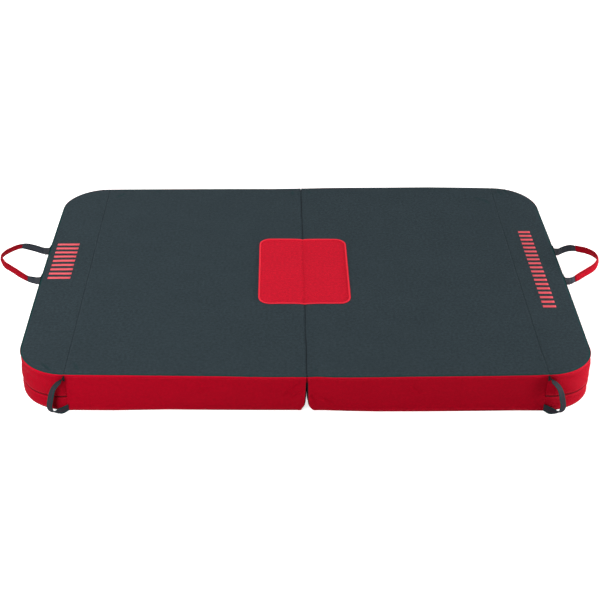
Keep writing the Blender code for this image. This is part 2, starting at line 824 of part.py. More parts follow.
def handle(side):
    """Webbing on edge that swings on its anchors, and the sleeve sewn round it as a grip."""
    name = side_name(side)
    body = f"handle_{name}"
    pivot(body, (side * HANDLE_PIVOT_X, HANDLE_Y, HANDLE_Z), f"{name}_half")
    sections, lengths = handle_sections(side, HANDLE_WIDTH, HANDLE_THICKNESS, BAND_SHARES)
    first, last = rounded_ends(side)
    finish(f"handle_webbing_{name}", loft(first + sections + last), WEBBING, body)
    inner_width, inner_thickness = HANDLE_WIDTH + 2 * CLEAR, HANDLE_THICKNESS + 2 * CLEAR
    outer, _ = handle_sections(side, GRIP_WIDTH, GRIP_THICKNESS, SLEEVE_OUTER_SHARES)
    inner, _ = handle_sections(side, inner_width, inner_thickness, SLEEVE_INNER_SHARES)
    total = lengths[-1]
    inside = [k for k, at in enumerate(lengths) if GRIP_START_SHARE <= at / total <= GRIP_END_SHARE]
    start, stop = inside[0], inside[-1] + 1
    finish(f"handle_grip_{name}", tube(outer[start:stop], inner[start:stop]), GRIP_FABRIC, body)


def handle_anchor(side, label, leg_y):
    """A sewn anchor on the end wall: a flat tab whose two plies hold a leg of the handle."""
    base, tip = ANCHOR_BACK + ANCHOR_PLATE, HANDLE_PIVOT_X + ANCHOR_EAR_PAST_PIVOT
    ear_in = HANDLE_THICKNESS / 2 + CLEAR
    ear_out = ear_in + ANCHOR_EAR
    half = [
        (ANCHOR_BACK, ANCHOR_FLANGE),
        (base, ANCHOR_FLANGE),
        (base, ear_out),
        (tip, ear_out),
        (tip, ear_in),
        (base, ear_in),
    ]
    profile = half + [(x, -y) for x, y in reversed(half)]
    foot = HANDLE_Z - HANDLE_WIDTH / 2
    outline = [(side * x, HANDLE_Y + leg_y + y, foot) for x, y in profile]
    name = side_name(side)
    bm = extruded(outline, (0, 0, HANDLE_WIDTH))
    finish(f"handle_anchor_{label}_{name}", bm, WEBBING, f"{name}_half", False)


def seam_loop(side, end):
    """A webbing loop sewn in a corner seam; end is -1 at the front and 1 at the back."""
    label = "front" if end < 0 else "back"
    name = side_name(side)
    body = f"loop_{label}_{name}"
    top_edge = LOOP_FOOT + LOOP_HEIGHT + LOOP_WIDTH / 2
    axis_y = PAD_DEPTH / 2 - level(top_edge).corner_seam + CLEAR + LOOP_THICKNESS / 2
    pivot(body, (side * SEAM_X, end * axis_y, 0), f"{name}_half")
    points = []
    for reach, height, proud in LOOP_ROUTE_SHARES:
        x = SEAM_X + reach * LOOP_REACH
        y = axis_y + proud * LOOP_PROUD
        points.append((side * x, end * y, LOOP_FOOT + height * LOOP_HEIGHT))
    route = smooth_route(points, LOOP_STEPS)
    ways = tangents(route)
    # The two ends stand upright on the seam, so that they turn clear of the walls.
    ways[0].z = 0
    ways[-1].z = 0
    sections = []
    for here, way in zip(route, ways):
        across = way.cross(Vector((0, 1, 0))).normalized()
        normal = way.cross(across).normalized()
        sections.append(band_section(here, across, normal, LOOP_WIDTH, LOOP_THICKNESS))
    finish(f"seam_loop_{label}_{name}", loft(sections), WEBBING, body)


def closure_catch(end):
    """A short webbing loop across the left end wall, above the zip, that takes a closure hook."""
    label = "front" if end < 0 else "back"
    y = end * CATCH_Y
    sections = []
    across = Vector((0, 1, 0))
    places = []
    for k in range(CATCH_STEPS + 1):
        share = k / CATCH_STEPS
        z = CATCH_FOOT + CATCH_HEIGHT * share
        x = max(end_wall_x(y + edge, z) for edge in (-CATCH_WIDTH / 2, CATCH_WIDTH / 2))
        x += CLEAR + WEB_THICKNESS + CATCH_PROUD * math.sin(math.pi * share)
        places.append(Vector((LEFT * x, y, z)))
    for here, way in zip(places, tangents(places)):
        normal = way.cross(across).normalized()
        sections.append(band_section(here, across, normal, CATCH_WIDTH, WEB_THICKNESS))
    finish(f"closure_catch_{label}", loft(sections), WEBBING, "left_half")


# The carrying harness in the hollow of the right half.

CEILING = STRAP_HOLLOW - CLEAR - WEB_THICKNESS / 2
WRAP_LUG = LUG_THICKNESS / 2 + WRAP_CLEAR + WEB_THICKNESS / 2


def wrapped_end(bar_start, bar_end, wrap):
    """Distance and height of webbing that comes over a bar, goes round it and lies back below."""
    around = bar_end + WRAP_CLEAR + WEB_THICKNESS / 2
    return [
        (bar_start - WRAP_LEAD, wrap),
        (bar_start, wrap),
        (around - WRAP_CUT, wrap),
        (around, wrap - WRAP_CUT),
        (around, WRAP_CUT - wrap),
        (around - WRAP_CUT, -wrap),
        (bar_start, -wrap),
        (bar_start - WRAP_TAIL, -wrap),
    ]


def web_between(name, start, way, points, width, body):
    """Webbing along a straight way, from points of distance and height about the hardware's middle."""
    way = Vector(way)
    across = Vector((-way.y, way.x, 0))
    places = [Vector(start) + way * s + Vector((0, 0, z)) for s, z in points]
    sections = []
    for here, ahead in zip(places, tangents(places)):
        normal = ahead.cross(across).normalized()
        sections.append(band_section(here, across, normal, width, WEB_THICKNESS))
    finish(name, loft(sections), WEBBING, body)


def shoulder_strap(end):
    """A padded strap with a webbing tongue round the top bar of its ladder lock."""
    label = "inner" if end < 0 else "outer"
    top_x, low_x = HARNESS_X + end * SHOULDER_TOP_X, HARNESS_X + end * SHOULDER_LOW_X
    padded_z = STRAP_HOLLOW - CLEAR - SHOULDER_THICKNESS / 2
    stations = []
    for k in range(SHOULDER_STEPS + 1):
        share = k / SHOULDER_STEPS
        y = SHOULDER_TOP_Y + (SHOULDER_END_Y - SHOULDER_TOP_Y) * share
        ease = (1 - math.cos(math.pi * share)) / 2
        x = top_x + (low_x - top_x) * ease
        filled = min(1.0, min(share, 1 - share) / SHOULDER_TAPER_SHARE)
        full = math.sin(math.pi / 2 * (SHOULDER_END_SHARE + (1 - SHOULDER_END_SHARE) * filled))
        width = TONGUE_WIDTH + (SHOULDER_WIDTH - TONGUE_WIDTH) * full
        thick = WEB_THICKNESS + (SHOULDER_THICKNESS - WEB_THICKNESS) * full
        stations.append((Vector((x, y, padded_z)), width, thick))
    bar_y = LOCK_Y + LOCK_LENGTH
    tongue = wrapped_end(SHOULDER_END_Y - bar_y, SHOULDER_END_Y - bar_y + LOCK_BAR, WRAP_LUG)
    for s, z in tongue[1:-1]:
        stations.append((Vector((low_x, SHOULDER_END_Y - s, HARDWARE_Z + z)), TONGUE_WIDTH, WEB_THICKNESS))
    places = [place for place, _, _ in stations]
    sections = []
    for (here, width, thick), ahead in zip(stations, tangents(places)):
        across = Vector((1, 0, 0))
        normal = ahead.cross(across).normalized()
        sections.append(band_section(here, across, normal, width, thick, SLEEVE_OUTER_SHARES))
    finish(f"shoulder_strap_{label}", loft(sections), SLATE_FABRIC, "right_half")


def rounded_plate(name, centre, size, corner, finish_values, body):
    """A flat plate with cut corners, standing on the hardware's middle plane."""
    cx, cy = centre
    half_x, half_y, half_z = (value / 2 for value in size)
    outline = [
        (cx - half_x + corner, cy - half_y),
        (cx + half_x - corner, cy - half_y),
        (cx + half_x, cy - half_y + corner),
        (cx + half_x, cy + half_y - corner),
        (cx + half_x - corner, cy + half_y),
        (cx - half_x + corner, cy + half_y),
        (cx - half_x, cy + half_y - corner),
        (cx - half_x, cy - half_y + corner),
    ]
    bm = extruded([(x, y, HARDWARE_Z - half_z) for x, y in outline], (0, 0, size[2]))
    return finish(name, bm, finish_values, body, False)


def ladder_lock(end):
    """A plastic frame whose outer bars hold the strap's tongue and the lower webbing."""
    label = "inner" if end < 0 else "outer"
    x = HARNESS_X + end * SHOULDER_LOW_X
    middle = LOCK_Y + LOCK_LENGTH / 2
    size = (LOCK_WIDTH, LOCK_LENGTH, LUG_THICKNESS)
    frame = rounded_plate(f"ladder_lock_{label}", (x, middle), size, LOCK_BAR / 2, PLASTIC, "right_half")
    half = LOCK_WIDTH / 2 - LOCK_BAR
    for k, low in enumerate((LOCK_Y + LOCK_BAR, LOCK_Y + LOCK_LENGTH - LOCK_BAR - LOCK_SLOT)):
        first = (x - half, low, HARDWARE_Z - LUG_THICKNESS)
        second = (x + half, low + LOCK_SLOT, HARDWARE_Z + LUG_THICKNESS)
        cut(frame, f"ladder_lock_slot_{label}_{k}", first, second)
    start = (x, LOWER_ANCHOR_Y, HARDWARE_Z)
    bar = LOCK_Y - LOWER_ANCHOR_Y
    points = [(0, CEILING - HARDWARE_Z), (bar - 2 * WRAP_LEAD, CEILING - HARDWARE_Z)]
    points += wrapped_end(bar, bar + LOCK_BAR, WRAP_LUG)
    web_between(f"lower_strap_{label}", start, (0, 1, 0), points, LOWER_WEB_WIDTH, "right_half")


def buckle_profile(body_start, body_end, lug_end):
    """Side view of a buckle half: a chamfered body and a thinner lug for the webbing."""
    way = 1 if lug_end > body_end else -1
    thick, thin = BUCKLE_THICKNESS / 2, LUG_THICKNESS / 2
    half = [
        (body_start, thick - BUCKLE_CHAMFER),
        (body_start + way * BUCKLE_CHAMFER, thick),
        (body_end - way * BUCKLE_CHAMFER, thick),
        (body_end, thin),
        (lug_end, thin),
    ]
    return half + [(x, -z) for x, z in reversed(half)]


BUCKLE_MOUTH = HARNESS_X
SOCKET_END = BUCKLE_MOUTH - BUCKLE_BODY
PLUG_START = BUCKLE_MOUTH + CLEAR
PLUG_END = PLUG_START + BUCKLE_HEAD


def buckle_half(name, profile, lug_end, way, body):
    """A buckle half pushed out of its side view, with the slot for its webbing."""
    foot = BELT_Y - BUCKLE_WIDTH / 2
    outline = [(x, foot, HARDWARE_Z + z) for x, z in profile]
    made = finish(name, extruded(outline, (0, BUCKLE_WIDTH, 0)), PLASTIC, body, False)
    bar_edge = lug_end - way * BUCKLE_BAR
    slot_edge = bar_edge - way * BUCKLE_SLOT
    half = BELT_WIDTH / 2 + WRAP_CLEAR
    first = (bar_edge, BELT_Y - half, HARDWARE_Z - LUG_THICKNESS)
    second = (slot_edge, BELT_Y + half, HARDWARE_Z + LUG_THICKNESS)
    cut(made, f"{name}_slot", first, second)
    return made


def buckle_socket():
    """The half that takes the prongs, open at its mouth and through a window on each side."""
    lug_end = SOCKET_END - BUCKLE_LUG
    profile = buckle_profile(BUCKLE_MOUTH, SOCKET_END, lug_end)
    made = buckle_half("buckle_socket", profile, lug_end, -1, "right_half")
    inner = BUCKLE_WIDTH / 2 - BUCKLE_WALL
    hollow = BUCKLE_THICKNESS / 2 - BUCKLE_FLOOR
    deep = BUCKLE_MOUTH - PRONG_LENGTH - CLEAR
    low = (deep, BELT_Y - inner, HARDWARE_Z - hollow)
    high = (BUCKLE_MOUTH + CUT_OVERRUN, BELT_Y + inner, HARDWARE_Z + hollow)
    cut(made, "buckle_socket_hollow", low, high)
    near = BUCKLE_MOUTH - WINDOW_SETBACK
    low = (near - WINDOW_LENGTH, BELT_Y - BUCKLE_WIDTH / 2 - CUT_OVERRUN, HARDWARE_Z - hollow)
    high = (near, BELT_Y + BUCKLE_WIDTH / 2 + CUT_OVERRUN, HARDWARE_Z + hollow)
    cut(made, "buckle_socket_windows", low, high)
    return hollow, inner


def buckle_plug(hollow, inner):
    """The half with two sprung prongs and a guide, which slides out of the socket along X."""
    pivot("buckle_release", (BUCKLE_MOUTH, BELT_Y, HARDWARE_Z), "right_half")
    lug_end = PLUG_END + BUCKLE_LUG
    profile = buckle_profile(PLUG_START, PLUG_END, lug_end)
    made = buckle_half("buckle_plug", profile, lug_end, 1, "buckle_release")
    thick = hollow - CLEAR
    tip = BUCKLE_MOUTH - PRONG_LENGTH
    root = PLUG_START + BUCKLE_CHAMFER
    outer = inner - CLEAR
    lanes = (
        (-outer, -outer + PRONG_WIDTH),
        (-PRONG_GUIDE_WIDTH / 2, PRONG_GUIDE_WIDTH / 2),
        (outer - PRONG_WIDTH, outer),
    )
    for k, (low_y, high_y) in enumerate(lanes):
        taper = (high_y - low_y) * PRONG_TIP_SHARE
        plan = (
            (root, low_y),
            (root, high_y),
            (tip + taper, high_y),
            (tip, high_y - taper),
            (tip, low_y + taper),
            (tip + taper, low_y),
        )
        outline = [(x, BELT_Y + y, HARDWARE_Z - thick) for x, y in plan]
        combine(made, f"buckle_prong_{k}", extruded(outline, (0, 0, 2 * thick)), "UNION")


def waist_belt():
    """The belt's two webbings, each folded round the bar of its buckle half."""
    lug_in = SOCKET_END - BUCKLE_LUG
    start = (HARNESS_X - BELT_ANCHOR, BELT_Y, HARDWARE_Z)
    bar = lug_in - start[0]
    lead = CEILING - HARDWARE_Z
    points = [(0, lead), (bar - 2 * WRAP_LEAD, lead)] + wrapped_end(bar, bar + BUCKLE_BAR, WRAP_LUG)
    web_between("waist_belt_inner", start, (1, 0, 0), points, BELT_WIDTH, "right_half")
    start = (HARNESS_X + BELT_ANCHOR, BELT_Y, HARDWARE_Z)
    bar = start[0] - PLUG_END - BUCKLE_LUG
    points = [(0, lead), (bar - 2 * WRAP_LEAD, lead)] + wrapped_end(bar, bar + BUCKLE_BAR, WRAP_LUG)
    web_between("waist_belt_outer", start, (-1, 0, 0), points, BELT_WIDTH, "buckle_release")


def closure_strap(end):
    """A strap along the end of the right half with a flat hook on it; end is -1 at the front."""
    label = "front" if end < 0 else "back"
    start = (CLOSURE_X, end * CLOSURE_ANCHOR_Y, HARDWARE_Z)
    bar_middle = CLOSURE_LENGTH
    bar_start, bar_end = bar_middle - HOOK_BAR / 2, bar_middle + HOOK_BAR / 2
    wrap = HOOK_BAR * math.sqrt(2) / 2 + WRAP_CLEAR + WEB_THICKNESS / 2
    lead = CEILING - HARDWARE_Z
    points = [(0, lead), (bar_start - 2 * WRAP_LEAD, lead)] + wrapped_end(bar_start, bar_end, wrap)
    way = (0, -end, 0)
    web_between(f"closure_strap_{label}", start, way, points, CLOSURE_WIDTH, "right_half")
    body = f"hook_{label}"
    bar_y = end * (CLOSURE_ANCHOR_Y - bar_middle)
    pivot(body, (CLOSURE_X, bar_y, HARDWARE_Z), "right_half")
    outer_y = bar_y + end * HOOK_BAR / 2
    centre = (CLOSURE_X, outer_y - end * HOOK_LENGTH / 2)
    size = (HOOK_WIDTH, HOOK_LENGTH, HOOK_THICKNESS)
    plate = rounded_plate(f"closure_hook_{label}", centre, size, HOOK_CORNER, ALUMINIUM, body)
    half = CLOSURE_WIDTH / 2 + WRAP_CLEAR
    low, high = HARDWARE_Z - HOOK_THICKNESS, HARDWARE_Z + HOOK_THICKNESS
    near = outer_y - end * HOOK_BAR
    far = near - end * HOOK_SLOT
    cut(plate, f"hook_slot_{label}", (CLOSURE_X - half, near, low), (CLOSURE_X + half, far, high))
    near = far - end * HOOK_CORNER
    far = near - end * HOOK_THROAT
    cut(plate, f"hook_throat_{label}", (CLOSURE_X - half, near, low), (CLOSURE_X + half, far, high))
    mouth = CLOSURE_X + half - HOOK_MOUTH_SETBACK
    beyond = outer_y - end * (HOOK_LENGTH + CUT_OVERRUN)
    cut(plate, f"hook_mouth_{label}", (mouth - HOOK_THROAT, near - end * CLEAR, low), (mouth, beyond, high))


def build():
    clear_scene()
    pivot("left_half", (0, 0, 0))
    pivot("right_half", (0, 0, FOLD_Z))
    for side in (LEFT, RIGHT):
        foam_layers(side)
        top_panels(side)
        bottom_panel(side)
        walls(side)
        fold_wall(side)
        zip_chain(side)
        zip_slider(side)
        patch(side)
        handle(side)
        handle_anchor(side, "front", -HANDLE_LEG_Y)
        handle_anchor(side, "back", HANDLE_LEG_Y)
        seam_loop(side, -1)
        seam_loop(side, 1)
    for end in (-1, 1):
        closure_catch(end)
        shoulder_strap(end)
        ladder_lock(end)
        closure_strap(end)
    buckle_plug(*buckle_socket())
    waist_belt()


build()
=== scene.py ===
"""The looks of an open hinge-fold bouldering crash pad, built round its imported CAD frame."""

import math

import bmesh
import bpy
import numpy as np
from mathutils import Matrix, Vector


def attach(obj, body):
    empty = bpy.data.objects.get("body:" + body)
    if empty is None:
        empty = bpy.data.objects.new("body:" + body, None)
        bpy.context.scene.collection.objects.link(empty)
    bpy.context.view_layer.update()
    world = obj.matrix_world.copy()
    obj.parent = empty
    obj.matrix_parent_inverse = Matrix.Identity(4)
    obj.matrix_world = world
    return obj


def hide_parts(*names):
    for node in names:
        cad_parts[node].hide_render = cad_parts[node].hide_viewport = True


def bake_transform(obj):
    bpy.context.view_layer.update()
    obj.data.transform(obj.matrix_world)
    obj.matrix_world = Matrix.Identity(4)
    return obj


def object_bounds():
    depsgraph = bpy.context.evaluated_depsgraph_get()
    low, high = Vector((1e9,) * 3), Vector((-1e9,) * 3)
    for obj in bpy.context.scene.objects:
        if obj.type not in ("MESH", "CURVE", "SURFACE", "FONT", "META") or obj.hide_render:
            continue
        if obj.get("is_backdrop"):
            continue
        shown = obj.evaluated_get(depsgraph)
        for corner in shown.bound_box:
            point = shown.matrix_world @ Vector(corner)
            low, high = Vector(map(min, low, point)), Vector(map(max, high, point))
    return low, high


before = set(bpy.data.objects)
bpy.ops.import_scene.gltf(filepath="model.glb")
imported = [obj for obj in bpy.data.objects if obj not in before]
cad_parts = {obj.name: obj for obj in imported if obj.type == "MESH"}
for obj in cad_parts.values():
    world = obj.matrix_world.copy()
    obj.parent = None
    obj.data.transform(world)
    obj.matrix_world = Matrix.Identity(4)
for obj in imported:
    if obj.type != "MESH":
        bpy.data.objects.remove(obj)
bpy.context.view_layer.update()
bpy.ops.object.select_all(action="DESELECT")
scene = bpy.context.scene

# Sizes of the pad, in metres, as the part has them.
PAD_LENGTH, PAD_DEPTH = 1.651, 1.118
SEAM_HEIGHT, CROWN, CROWN_REACH = 0.1235, 0.0035, 0.090
CORNER_RADIUS = 0.146
SEAM_X = PAD_LENGTH / 2 - CORNER_RADIUS
ARC_Y = PAD_DEPTH / 2 - CORNER_RADIUS
END_X = PAD_LENGTH / 2
SIDE_BOW, END_BOW = 0.008, 0.003
DRAW_IN, HINGE_GAPE = 0.009, 0.021
ZIP_BOTTOM, ZIP_TOP, ZIP_HEIGHT = 0.046, 0.054, 0.050
FOLD_Z, FOLD_HALF = 0.1286, 0.006
STRAP_HOLLOW, STRAP_HOLLOW_REACH = 0.0125, 0.085
CLEAR = 0.0003

# Height, then stand-back of the long walls, the corner seams and the ends, and the gape, in shares.
LOWER_ROWS = (
    (0.00, 1.00, 0.95, 1.05, 1.000),
    (0.13, 0.72, 0.62, 0.80, 0.740),
    (0.42, 0.40, 0.56, 0.48, 0.330),
    (0.78, 0.22, 0.54, 0.45, 0.150),
    (1.00, 0.17, 0.54, 0.72, 0.120),
)
UPPER_ROWS = (
    (0.00, 0.12, 0.54, 0.67, 0.105),
    (0.20, 0.03, 0.52, 0.16, 0.085),
    (0.50, -0.05, 0.50, -0.11, 0.060),
    (0.77, 0.05, 0.50, 0.05, 0.045),
    (0.92, 0.20, 0.46, 0.26, 0.035),
    (1.00, 0.00, 0.00, 0.00, 0.018),
)
CROWN_ROWS = ((0.00, 0.00), (0.11, 0.40), (0.31, 0.72), (0.61, 0.93), (1.00, 1.00), (1.4, 1.0), (9.0, 1.0))
HOLLOW_ROWS = ((0.00, 0.00), (0.62, 0.00), (0.75, 0.20), (0.88, 0.80), (1.00, 1.00), (1.4, 1.0), (9.0, 1.0))

# The valley half-way up the corner seams, with its height, its span and its reach along each wall,
# then the seam groove and the roll of cloth beside it.
VALLEY, VALLEY_Z, VALLEY_SPAN = 0.0055, 0.062, 0.034
VALLEY_REACH = {"long": 0.026, "arc": 0.016, "end": 0.016}
GROOVE = 0.0018
ROLL = 0.0013
CLOTH = 0.0010

SIDES = {"left": -1, "right": 1}

# Places and sizes of what rests on the cloth or hangs from it: handles, catches, closures and belt.
HANDLE_Y, HANDLE_Z, HANDLE_HALF_SPAN = 0.053, SEAM_HEIGHT - 0.0135, 0.091
HANDLE_WIDTH, HANDLE_THICKNESS = 0.025, 0.002
ANCHOR_FACE, ANCHOR_HALF_LENGTH = 0.829058, 0.022
CATCH_Y, CATCH_FOOT, CATCH_HEIGHT, CATCH_WIDTH = 0.26, ZIP_TOP + 0.006, 0.032, 0.027
CLOSURE_X, CLOSURE_WIDTH = SEAM_X + 0.0105, 0.025
BELT_Y, BELT_MARGIN = 0.159 - PAD_DEPTH / 2, 0.039
BELT_ANCHOR = CLOSURE_X - CLOSURE_WIDTH / 2 - BELT_MARGIN - END_X / 2
PULL_FACE = 0.8250


# Curves through tables.


def smooth_between(rows, at):
    """The values beside a place in a table, on a smooth curve through its rows."""
    rows = np.asarray(rows, float)
    places, values = rows[:, 0], rows[:, 1:]
    k = int(np.clip(np.searchsorted(places, at) - 1, 0, len(places) - 2))
    slopes = np.gradient(values, places, axis=0)
    gap = places[k + 1] - places[k]
    t = float(np.clip((at - places[k]) / gap, 0, 1))
    bend = t * t * (3 - 2 * t)
    leave, arrive = t * (1 - t) ** 2, -(t**2) * (1 - t)
    steps = slopes[k] * leave + slopes[k + 1] * arrive
    return values[k] * (1 - bend) + values[k + 1] * bend + steps * gap


def level_rows(rows, low, high):
    """A strip's table in metres."""
    metres = np.array([1, DRAW_IN, DRAW_IN, DRAW_IN, HINGE_GAPE])
    made = np.array(rows) * metres
    made[:, 0] = low + (high - low) * made[:, 0]
    return made


LOWER_LEVELS = level_rows(LOWER_ROWS, 0, ZIP_BOTTOM)
UPPER_LEVELS = level_rows(UPPER_ROWS, ZIP_TOP, SEAM_HEIGHT)
WALL_LEVELS = np.concatenate([LOWER_LEVELS, UPPER_LEVELS])


def hump(distance, width):
    return math.exp(-((distance / width) ** 2))


def smooth_step(low, high, at):
    t = min(1.0, max(0.0, (at - low) / (high - low)))
    return t * t * (3 - 2 * t)


def smoothed(shares):
    """Shares held between 0 and 1, easing out of 0 and into 1."""
    shares = np.clip(shares, 0, 1)
    return shares * shares * (3 - 2 * shares)


# Materials. Each helper works in the node tree of the sockets that it is given.


def new_material(name, colour, roughness, metallic=0.0, specular=0.5):
    made = bpy.data.materials.new(name)
    made.use_nodes = True
    shader = made.node_tree.nodes["Principled BSDF"]
    shader.inputs["Base Color"].default_value = (*colour, 1)
    shader.inputs["Roughness"].default_value = roughness
    shader.inputs["Metallic"].default_value = metallic
    shader.inputs["Specular IOR Level"].default_value = specular
    return made, made.node_tree, shader


def add_node(tree, kind, **values):
    """A node with its inputs set or linked by name, and its own properties where it has no such input."""
    made = tree.nodes.new(kind)
    for key, value in values.items():
        label = key.replace("_", " ").title()
        if label not in made.inputs:
            setattr(made, key, value)
        elif isinstance(value, bpy.types.NodeSocket):
            tree.links.new(value, made.inputs[label])
        else:
            made.inputs[label].default_value = value
    return made


def sums(operation, *values):
    """A Math node's result, from sockets and numbers."""
    tree = next(value.id_data for value in values if isinstance(value, bpy.types.NodeSocket))
    made = tree.nodes.new("ShaderNodeMath")
    made.operation = operation
    for k, value in enumerate(values):
        if isinstance(value, (int, float)):
            made.inputs[k].default_value = value
        else:
            tree.links.new(value, made.inputs[k])
    return made.outputs[0]


def colour_mix(share, first, second):
    tree = share.id_data
    made = tree.nodes.new("ShaderNodeMix")
    made.data_type = "RGBA"
    sockets = {socket.name: socket for socket in made.inputs if socket.enabled}
    tree.links.new(share, sockets["Factor"])
    for label, value in (("A", first), ("B", second)):
        if isinstance(value, bpy.types.NodeSocket):
            tree.links.new(value, sockets[label])
        else:
            sockets[label].default_value = (*value, 1)
    return [socket for socket in made.outputs if socket.enabled][0]


def ramp(source, low, high):
    """A share that rises from 0 to 1 as its source goes from one value to another."""
    made = add_node(source.id_data, "ShaderNodeMapRange", value=source, from_min=low, from_max=high)
    return made.outputs["Result"]


def noise_of(coordinates, scale, detail=3.0, roughness=0.55):
    made = add_node(
        coordinates.id_data,
        "ShaderNodeTexNoise",
        vector=coordinates,
        scale=scale,
        detail=detail,
        roughness=roughness,
    )
    return made.outputs["Fac"]


def bands(coordinates, direction, pitch):
    """Rounded threads across a direction, one to each pitch."""
    made = add_node(
        coordinates.id_data,
        "ShaderNodeTexWave",
        vector=coordinates,
        scale=math.pi / (10 * pitch),
        distortion=0.6,
        detail=1.0,
        detail_scale=2.0,
        wave_type="BANDS",
        bands_direction=direction,
        wave_profile="SIN",
    )
    return made.outputs["Fac"]


def parts_of(vector):
    return add_node(vector.id_data, "ShaderNodeSeparateXYZ", vector=vector).outputs


def cloth_map(tree):
    return add_node(tree, "ShaderNodeUVMap", uv_map="cloth").outputs["UV"]


def own_place(tree):
    return tree.nodes.new("ShaderNodeTexCoord").outputs["Object"]


# The painted light that a mesh carries: a painted highlight above zero, painted shade below it.
def painted_light_tone(tree):
    return add_node(tree, "ShaderNodeAttribute", attribute_name="painted_light_tone").outputs["Fac"]


def vary_roughness(shader, source, low, high):
    made = add_node(shader.id_data, "ShaderNodeMapRange", value=source, to_min=low, to_max=high)
    made.id_data.links.new(made.outputs["Result"], shader.inputs["Roughness"])


def dress(shader, base, height, depth):
    """Gives a material its colour, and its relief from a height and a depth."""
    relief = add_node(shader.id_data, "ShaderNodeBump", distance=depth, height=height)
    relief.id_data.links.new(base, shader.inputs["Base Color"])
    relief.id_data.links.new(relief.outputs["Normal"], shader.inputs["Normal"])


def lighter(colour, factor):
    return tuple(min(1.0, value * factor) for value in colour)


DUST = (0.30, 0.26, 0.22)
# Near-black painted shade for the walls' feet, the zip's lips, the fold's edges and the sleeves' edges.
SEAM_SHADE = (0.006, 0.009, 0.010)
# Painted shade for the loops' webbing where it leaves the seam, then the colour of webbing edges.
WEBBING_SHADE, WEBBING_EDGE = (0.004, 0.012, 0.013), (0.008, 0.016, 0.022)
HERRINGBONE = 0.0022


def woven_cloth(name, colour, thread, depth, roughness, mottle=0.2, grime=0.0, dark=SEAM_SHADE):
    """Plain-woven cloth on a piece's own UV map, in metres, with uneven dye, and painted highlight and shade
    along its edges as its mesh sets them.
    """
    made, tree, shader = new_material(name, colour, roughness, specular=0.04)
    uv, place = cloth_map(tree), own_place(tree)
    warp, weft = bands(uv, "X", thread), bands(uv, "Y", thread)
    over = add_node(tree, "ShaderNodeTexChecker", vector=uv, scale=1 / thread).outputs["Fac"]
    under = sums("SUBTRACT", 1.0, over)
    woven = sums("ADD", sums("MULTIPLY", warp, over), sums("MULTIPLY", weft, under))
    blotches = noise_of(place, 9.0)
    grain = noise_of(uv, 125.0, 2.0, 0.6)
    slubs = noise_of(uv, 1400.0, 1.0)
    dye = sums("ADD", sums("MULTIPLY", blotches, 0.15), sums("MULTIPLY", grain, 0.85))
    base = colour_mix(ramp(dye, 0.32, 0.68), lighter(colour, 1 - mottle), lighter(colour, 1 + mottle))
    base = colour_mix(ramp(woven, 0.0, 0.7), lighter(colour, 0.72), base)
    low = sums("SUBTRACT", 1.0, ramp(parts_of(place)["Z"], 0.0, 0.03))
    base = colour_mix(sums("MULTIPLY", sums("MULTIPLY", low, blotches), grime), base, DUST)
    # Painted light from the mesh: a painted highlight above zero, painted shade in the dark colour below it.
    tone = painted_light_tone(tree)
    base = colour_mix(ramp(tone, 0.0, 1.0), base, lighter(colour, 1.75))
    base = colour_mix(ramp(tone, 0.0, -1.0), base, dark)
    vary_roughness(shader, grain, roughness - 0.06, min(1.0, roughness + 0.07))
    dress(shader, base, sums("ADD", woven, sums("MULTIPLY", slubs, 0.5)), depth)
    return made


def webbing_cloth(
    name, colour, rib=0.0016, roughness=0.68, half_width=None, edge_colour=WEBBING_EDGE, specular=0.2
):
    """Ribbed webbing on its own UV map: herringbone along it, with dark edges where they are wanted, and with
    them painted shade where its mesh sets it.
    """
    made, tree, shader = new_material(name, colour, roughness, specular=specular)
    uv = cloth_map(tree)
    parts = parts_of(uv)
    along, across = parts["X"], parts["Y"]
    rows = sums("SINE", sums("MULTIPLY", across, 2 * math.pi / HERRINGBONE))
    slant = sums("MULTIPLY", rows, rib * 0.22)
    ribs = sums("SINE", sums("MULTIPLY", sums("ADD", along, slant), 2 * math.pi / rib))
    ribs = sums("MULTIPLY_ADD", ribs, 0.5, 0.5)
    woven = sums("MULTIPLY", ribs, sums("MULTIPLY_ADD", rows, 0.25, 0.5))
    grain = noise_of(uv, 420.0, 2.0)
    base = colour_mix(ramp(woven, 0.0, 0.6), lighter(colour, 0.55), lighter(colour, 1.12))
    base = colour_mix(sums("MULTIPLY", grain, 0.3), base, lighter(colour, 1.6))
    if half_width:
        edge = ramp(sums("ABSOLUTE", across), half_width - 0.0048, half_width - 0.0034)
        base = colour_mix(edge, base, edge_colour)
        # Painted shade where the mesh's painted light falls below zero.
        base = colour_mix(ramp(painted_light_tone(tree), 0.0, -1.0), base, WEBBING_SHADE)
    dress(shader, base, woven, 0.0003)
    return made


def thread_finish(name, colour):
    made, tree, shader = new_material(name, colour, 0.6, specular=0.2)
    twist = noise_of(own_place(tree), 2600.0, 2.0)
    dress(shader, colour_mix(twist, lighter(colour, 0.7), lighter(colour, 1.3)), twist, 0.0002)
    return made


def print_finish(name, colour):
    """Rubbery ink lying in the weave, rubbed a little thin on its threads."""
    made, tree, shader = new_material(name, colour, 0.48, specular=0.4)
    wear = noise_of(own_place(tree), 700.0)
    dress(shader, colour_mix(ramp(wear, 0.55, 0.85), colour, lighter(colour, 0.6)), wear, 0.0001)
    return made


def foam_finish(name, colour, pore, depth, roughness):
    made, tree, shader = new_material(name, colour, roughness, specular=0.2)
    cells = add_node(tree, "ShaderNodeTexVoronoi", vector=own_place(tree), scale=1 / pore)
    share = ramp(cells.outputs["Distance"], 0.1, 0.6)
    base = colour_mix(share, lighter(colour, 1.1), lighter(colour, 0.7))
    dress(shader, base, sums("SUBTRACT", 1.0, share), depth)
    return made


